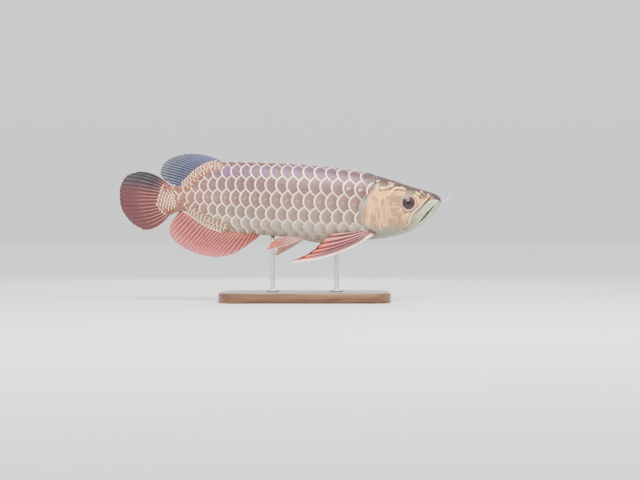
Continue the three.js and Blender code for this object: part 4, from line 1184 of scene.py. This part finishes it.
def fins():
    """Dorsal, anal and tail fins in the middle plane, and the paired pectoral and pelvic fins."""
    still = constant(0)
    dorsal = lines_of(edge_roots(back_line, 301, 361, 3), DORSAL_TIPS, (constant(1), still, constant(1.5)))
    fin("dorsal_fin_skin", slate_fin, dorsal, 20, EDGE_FIN_HALF, 8, 26, (0.9, 1.6, 0.3),
        dorsal_tones, notch=0.03)
    anal = lines_of(edge_roots(belly_line, 250, 360, -3), ANAL_TIPS, (constant(1), still, constant(-1.5)))
    fin("anal_fin_skin", rosy_fin, anal, 26, EDGE_FIN_HALF, 8, 30, (0.9, 1.8, 0.4),
        anal_tones, ray_width=0.18)
    tail = lines_of(TAIL_ROOTS, TAIL_TIPS, (constant(-1), still, lambda s: 12 - 26 * s))
    fin("tail_fin_skin", rosy_fin, tail, 17, TAIL_FIN_HALF, 12, 40, (1.0, 1.2, 0.4),
        tail_tones, ray_width=0.15, round_root=True)
    for side, mirror in (("left", 1), ("right", -1)):
        shares = np.linspace(0, 1, 7)
        roots = [(s, 93 + 9 * s, 9.5 + 3.5 * s, -47.5 + 6.5 * s) for s in shares]
        tips = [(s, u, 44 - 20 * s, z) for s, (u, z) in zip(shares, PECTORAL_TIPS)]
        bow = (still, lambda s: 5 - 3 * s, lambda s: -20 + 18 * np.sqrt(s))
        fin(f"pectoral_fin_skin_{side}", rosy_fin, lines_of(roots, tips, bow), 7,
            PAIRED_FIN_HALF, 14, 48, (0.7, 1.3, 0.3), pectoral_tones, 0.27, 0.5, 0.03, mirror)
        shares = np.linspace(0, 1, 6)
        roots = [(s, 190 + 13 * s, 2.6, -54 + 4.5 * s) for s in shares]
        # pale: how much lighter the left pelvic fin is painted, as painted light against the shade it lies
        # in
        out, reach, turn, pale = (30, 0.86, 0.2, 0.6) if side == "left" else (17, 1, 0, 0)
        tips = [(s, 190 + reach * (u - 190), out - 5 * s, z) for s, (u, z) in zip(shares, PELVIC_TIPS)]
        bow = (still, constant(2), lambda s: -3 + 2.6 * s)
        fin(f"pelvic_fin_skin_{side}", rosy_fin, lines_of(roots, tips, bow), 6,
            PAIRED_FIN_HALF, 14, 30, (0.5, 1.2, 0.3), lambda s, along: pelvic_tones(s, along, pale),
            0.28, 0.6, 0.03, mirror, (190, -54), turn)


fins()


# Small scales round the fin bases
SHEATH_ROWS = ((1.3, 0.95), (1.05, 0.7), (0.85, 0.5))  # size over the pitch and lift in mm, row by row
SMALL_DISTANCES = np.array([1.7, 1.0, 0.55, 0.22, 0.0])  # ahead of the free edge, in scale sizes
SMALL_REACH = 0.64  # half width, in scale sizes
SMALL_RIM = 1.7  # how much narrower than on the large scales the rims are
TAIL_BASE_ROWS = 9
tail_root_side = smooth_line([(360, 9), (370, 7.3), (378, 5.6), (385, 4.1), (392, 3.4), (400, 3)])
tail_root_top = smooth_line([(366, 18.6), (376, 19.2), (386, 23.5), (398, 30)])
tail_root_foot = smooth_line([(366, -14.6), (376, -18.6), (386, -23.5), (398, -30)])


def sheath(line, start, end, pitch, levels, side, down):
    """Rows of small scales along a fin's base, each the centres, rearward ways, outward normals and sizes:
    even steps along the line in side view, each row a level from it, on the body or, below 0, on the root
    of the fin. Every second row is set half a step on."""
    stations = np.linspace(start, end, 400)
    heights = line(stations)
    length = np.concatenate([[0], np.cumsum(np.hypot(np.diff(stations), np.diff(heights)))])
    found = []
    for k, (level, (share_of_pitch, low)) in enumerate(zip(levels, SHEATH_ROWS)):
        size = pitch * share_of_pitch
        u = np.interp(np.arange(size * (0.5 + 0.5 * (k % 2)), length[-1], size), length, stations)
        slope = line(u + 0.5) - line(u - 0.5)
        tilt = 1 / np.hypot(1, slope)
        z = line(u) + down * level * tilt
        u = u - down * level * slope * tilt
        rear = np.stack([tilt, 0 * u, slope * tilt - down * 0.45], -1)
        if level < 0:
            clear = u > start + 9
            u, z, rear = u[clear], z[clear], rear[clear]
            base = np.stack([u, 0 * u + side * 2.1, z], -1)
            normal = np.broadcast_to([0.0, side, 0.0], base.shape)
        else:
            share = side * skin_share(u, np.clip(z, belly_line(u) + 0.4, back_line(u) - 0.4))
            base, above = (np.stack(skin_point(u, share, lift), -1) for lift in (low, low + 1))
            normal = above - base
        found.append((base, rear, normal, np.full(u.shape, size)))
    return found


def tail_base(side):
    """Rows of small scales that run out over the root of the tail fin and fan out."""
    found = []
    for k in range(TAIL_BASE_ROWS):
        s = (k + 0.5) / TAIL_BASE_ROWS
        u = np.arange(371.5 - 8 * s * s + 2.4 * (k % 2), 396 - 12 * (2 * s - 1) ** 2, 4.8)
        top, foot = tail_root_top(u), tail_root_foot(u)
        z = top + (foot - top) * s
        middle, reach = (top + foot) / 2, (top - foot) / 2 + 0.8
        round_off = np.sqrt(np.clip(1 - ((z - middle) / reach) ** 2, 0.02, 1))
        base = np.stack([u, side * (tail_root_side(u) * round_off + 0.15), z], -1)
        way = (tail_root_top(u + 1) - top) * (1 - s) + (tail_root_foot(u + 1) - foot) * s
        rear = np.stack([np.ones(u.shape), side * (tail_root_side(u + 1) - tail_root_side(u)), way], -1)
        normal = np.stack([0.12 + 0 * u, side * round_off, 0.6 * (z - middle) / reach], -1)
        found.append((base, rear, normal, 5.2 - 0.05 * (u - 372) + 1.2 * step(374, 366, u)))
    return found


def small_scales(name, rows):
    """Small rounded plates, each in the frame of its own centre, rearward way and outward normal, that rise
    from under the scales ahead to a free arc."""
    row = np.concatenate([np.full(len(part[0]), k) for k, part in enumerate(rows)])
    column = np.concatenate([np.arange(len(part[0])) for part in rows])
    base, rear, normal, size = (np.concatenate(part) for part in zip(*rows))
    normal = normal / np.linalg.norm(normal, axis=1, keepdims=True)
    rear = rear - normal * (rear * normal).sum(1, keepdims=True)
    rear /= np.linalg.norm(rear, axis=1, keepdims=True)
    aside = np.cross(normal, rear)
    base, rear, aside, normal, unit = (part[:, None, None] for part in (base, rear, aside, normal, size))
    across = np.linspace(-SMALL_REACH, SMALL_REACH, 7)
    distance = SMALL_DISTANCES[:, None] * unit
    arc = 0.5 * unit * (np.abs(across) / SMALL_REACH) ** 2.2
    ahead = 0.55 * unit - arc - distance
    lift = 0.7 - 1.3 * (distance + arc) / (1.7 * unit) + 0.12 * bell(distance - 0.4, 0.6)
    flat = base + rear * ahead[..., None] + aside * (across * unit)[..., None]
    upper, lower = (np.moveaxis(flat + normal * level[..., None], -1, 0) for level in (lift, lift - 0.35))
    give_plates = scale_mesh(name, upper, lower, column, row, (int(column.max()) + 4, len(rows)))
    u, _, z = upper
    pale = step(330, 290, u) + step(0, -14, z) * 0.9 * step(378, 366, u)
    give_plates(
        Tone=layered(even_tone("#7e4434", u), [(pale, "#876654")]),
        Rim=layered(even_tone("#ffdcb8", u), [(step(0, -20, z) * step(378, 366, u) * 0.7, "#ffe9c6")]),
        EdgeDistance=np.broadcast_to(distance, u.shape) * SMALL_RIM,
    )


for side_name, side_sign in (("left", 1), ("right", -1)):
    small_scales(f"small_scales_{side_name}", [
        *sheath(back_line, 303, 361, 4.9, (7.4, 2.6, -1.6), side_sign, -1),
        *sheath(belly_line, 296, 359, 4.9, (6.6, 1.8, -2.2), side_sign, 1),
        *tail_base(side_sign),
    ])


# Glass eye: a dark pupil and a red-brown iris under a clear polished dome, in a thin pale ring
def glass_eye(tree):
    reach = attribute(tree, "Reach", "Fac")
    streak = object_noise(tree, 1.2, 3, 1.2)
    tone = mixed(tree, attribute(tree, "Upper", "Fac"), rgba("#22141a"), rgba("#4c2024"))
    tone = stained(tree, tone, streak, 0.35, 0.7, 0.5, "#2c161c")
    tone = mixed(tree, ranged(tree, reach, 3.5, 4.1), rgba("#0b0c18"), tone)
    for start, end, code in ((8.3, 8.7, "#1f1418"), (8.9, 9.2, "#f0dcc4")):
        tone = stained(tree, tone, reach, start, end, 1, code)
    return {"Base Color": tone, "Normal": bumped(tree, streak, 0.1, 0.1)}


def dome(radius, reach):
    """Height of a round dome of height 1, flat beyond its reach."""
    return np.sqrt(np.clip(1 - (radius / reach) ** 2, 0, None))


def eye(side, mirror, coat):
    """A lens turned about its own axis: a low dome with the pupil's small dome on it and a rounded rim that
    goes down into the socket. Rings of even angle round the axis."""
    lens = np.concatenate([np.linspace(0.15, 3.9, 10), np.linspace(4.3, 9.0, 14)])
    radius = np.concatenate([lens, [9.3, 9.35, 9.2, 8.6, 7]])
    lens_height = 2.5 * dome(lens, 9.5) + 0.2 + 0.5 * dome(lens, 4.1)
    height = np.concatenate([lens_height, [0.2, -0.8, -2.2, -4, -5.4]])
    sides = 64
    h, a = np.meshgrid(height, 2 * math.pi * np.arange(sides) / sides, indexing="ij")
    r = radius[:, None] + 0 * a
    local = np.stack([r * np.sin(a), h, r * np.cos(a)], -1).reshape(-1, 3)
    local = np.concatenate([local, [[0, height[0], 0], [0, -5.6, 0]]])
    c, s = math.cos(EYE["turn"]), math.sin(EYE["turn"])
    about_z = np.array([[c, -s, 0], [s, c, 0], [0, 0, 1]])
    c, s = math.cos(EYE["lean"]), math.sin(EYE["lean"])
    about_x = np.array([[1, 0, 0], [0, c, -s], [0, s, c]])
    local = local @ (about_x @ about_z).T
    u, z = np.array([EYE["station"]]), np.array([EYE["height"]])
    sunk = float(flat_skin(u, skin_share(u, z))[0][0]) - EYE["depth"]
    points = np.stack([
        SNOUT_X - EYE["station"] + local[:, 0], mirror * (sunk + local[:, 1]),
        AXIS_Z + EYE["height"] + local[:, 2],
    ], -1) / 1000
    faces = [face[::-mirror] for face in tube_faces(len(radius), sides)]
    piece = new_piece(f"eyeball_{side}", points, faces, coat, (f"eye_{side}",))
    upper = np.cos(a - 0.5) * 0.5 + 0.5
    give(piece, Reach=np.concatenate([r.ravel(), [0, 7]]), Upper=np.concatenate([upper.ravel(), [0.5, 0.5]]))


# Barbel: soft skin, dusky purple at its root and pale towards the tip
def barbel_skin(tree):
    along = attribute(tree, "Along", "Fac")
    tone = mixed(tree, ranged(tree, along, 0.15, 0.6), rgba("#5a3a4c"), rgba("#e6dada"))
    return {
        "Base Color": stained(tree, tone, object_noise(tree, 1.5, 2), 0.4, 0.7, 0.35, "#3c2634"),
        "Normal": bumped(tree, object_noise(tree, 0.8, 2), 0.2, 0.15),
    }


def barbel(side, mirror, coat):
    """A soft feeler: a circle carried along a smooth path, thinner towards its tip."""
    path = curve([
        (3.6, 2.6, -5.2), (2.2, 3.4, -5), (-1.5, 4.4, -4.4), (-6, 8, -1.2), (-10.6, 13, 2.8),
        (-14, 18.5, 6.6),
    ], count=10)
    path[:, 1] *= mirror
    line = place(*path.T) * 1000
    way = np.gradient(line, axis=0)
    way /= np.linalg.norm(way, axis=1, keepdims=True)
    first = np.cross(way, [0, 0, 1])
    first /= np.linalg.norm(first, axis=1, keepdims=True)
    second = np.cross(way, first)
    share = np.linspace(0, 1, len(line))
    radius = blend(1.35, 0.3, share**0.7)
    radius[-1] = 0.12
    sides = 16
    angle = 2 * math.pi * np.arange(sides)[:, None] / sides
    ring = first[:, None] * np.cos(angle) + second[:, None] * np.sin(angle)
    points = (line[:, None] + ring * radius[:, None, None]).reshape(-1, 3)
    points = np.concatenate([points, line[:1], line[-1:]]) / 1000
    faces = tube_faces(len(line), sides)
    piece = new_piece(f"barbel_skin_{side}", points, faces, coat, (f"barbel_{side}",))
    give(piece, Along=np.concatenate([np.repeat(share, sides), [0, 1]]))


painted_eye = new_material("painted_glass_eye", {
    "IOR": 1.38, "Roughness": 0.14, "Coat Weight": 0.3, "Coat Roughness": 0.05,
}, glass_eye)
eye("left", 1, painted_eye)
eye("right", -1, painted_eye)
soft_barbel = new_material("soft_barbel_skin", {
    "IOR": 1.4, "Roughness": 0.38, "Coat Weight": 0.2,
}, barbel_skin)
barbel("left", 1, soft_barbel)
barbel("right", -1, soft_barbel)


# Stand
BASE = {"length": 236, "width": 132, "height": 14, "corner": 30, "edge": 2.6}


# Oiled walnut: long dark grain lines 2 to 5 mm apart, small pores, satin with a soft shine
def walnut(tree):
    grain, broad = stretched_noise(tree, (0.06, 1, 1), [(260.0, 5.0, 0.4), (60.0, 3.0, 1.2)])
    tone = mixed(tree, ranged(tree, broad, 0.3, 0.7), rgba("#4c3020"), rgba("#74502f"))
    return {
        "Base Color": stained(tree, tone, grain, 0.45, 0.62, 0.6, "#2c1a10"),
        "Roughness": ranged(tree, grain, 0.3, 0.7, 0.36, 0.5),
        "Normal": bumped(tree, grain, 0.25, 0.15),
    }


# Brushed stainless steel: fine lines round the rod, soft bright highlights
def brushed_steel(tree):
    lines = stretched_noise(tree, (0.1, 0.1, 1), [(2200.0, 2.0, 0.0)])[0]
    return {
        "Base Color": mixed(tree, lines, rgba("#b4b7bb"), rgba("#d2d4d6")),
        "Roughness": ranged(tree, lines, 0.3, 0.7, 0.38, 0.5),
        "Normal": bumped(tree, lines, 0.15, 0.05),
    }


def stand_base(coat):
    """A flat block with round corners: rings of a rounded rectangle, drawn in along a quarter circle at the
    upper edge and a small chamfer at the lower one."""
    turn = np.linspace(0, math.pi / 2, 7)
    insets = [1.0, 0.0, *BASE["edge"] * (1 - np.cos(turn)), 12, 24]
    levels = [0.0, 1.0, *BASE["height"] - BASE["edge"] * (1 - np.sin(turn)), BASE["height"], BASE["height"]]
    corner = np.linspace(0, math.pi / 2, 14)
    rings = []
    for inset, level in zip(insets, levels):
        radius = BASE["corner"] - inset
        for k, (sx, sy) in enumerate([(1, 1), (-1, 1), (-1, -1), (1, -1)]):
            angle = corner + k * math.pi / 2
            x = sx * (BASE["length"] / 2 - BASE["corner"]) + radius * np.cos(angle)
            y = sy * (BASE["width"] / 2 - BASE["corner"]) + radius * np.sin(angle)
            rings.append(np.stack([x, y, np.full(x.shape, level)], -1))
    points = np.concatenate([*rings, [[0, 0, 0], [0, 0, BASE["height"]]]]) / 1000
    faces = tube_faces(len(insets), 4 * len(corner))
    new_piece("base_block", points, faces, coat, ("stand_base",))


def stand_rod(node, station, coat):
    """A rod in a round collar: a profile turned about the upright axis, closed at both ends."""
    top = AXIS_Z + float(belly_line(station)) + 0.6
    foot = BASE["height"] + 0.05
    profile = np.array([
        (8.6, foot), (9, foot + 0.4), (9, foot + 2.2), (8.6, foot + 2.8), (7.9, foot + 3.1),
        (4.4, foot + 3.4), (3.4, foot + 3.9), (3, foot + 5), (3, foot + 20), (3, top - 12), (3, top),
    ])
    sides = 40
    angle = 2 * math.pi * np.arange(sides) / sides
    radius, level = profile[:, :1], profile[:, 1:] + 0 * angle
    points = np.stack([radius * np.cos(angle), radius * np.sin(angle), level], -1).reshape(-1, 3)
    points = np.concatenate([points, [[0, 0, foot], [0, 0, top]]])
    points[:, 0] += SNOUT_X - station
    new_piece(f"steel_{node}", points / 1000, tube_faces(len(profile), sides), coat, (node,))


stand_base(new_material("oiled_walnut", {"IOR": 1.5, "Coat Weight": 0.15, "Coat Roughness": 0.3}, walnut))
steel = new_material("brushed_stainless_steel", {"Metallic": 1.0}, brushed_steel)
stand_rod("stand_rod_front", 146, steel)
stand_rod("stand_rod_rear", 235, steel)
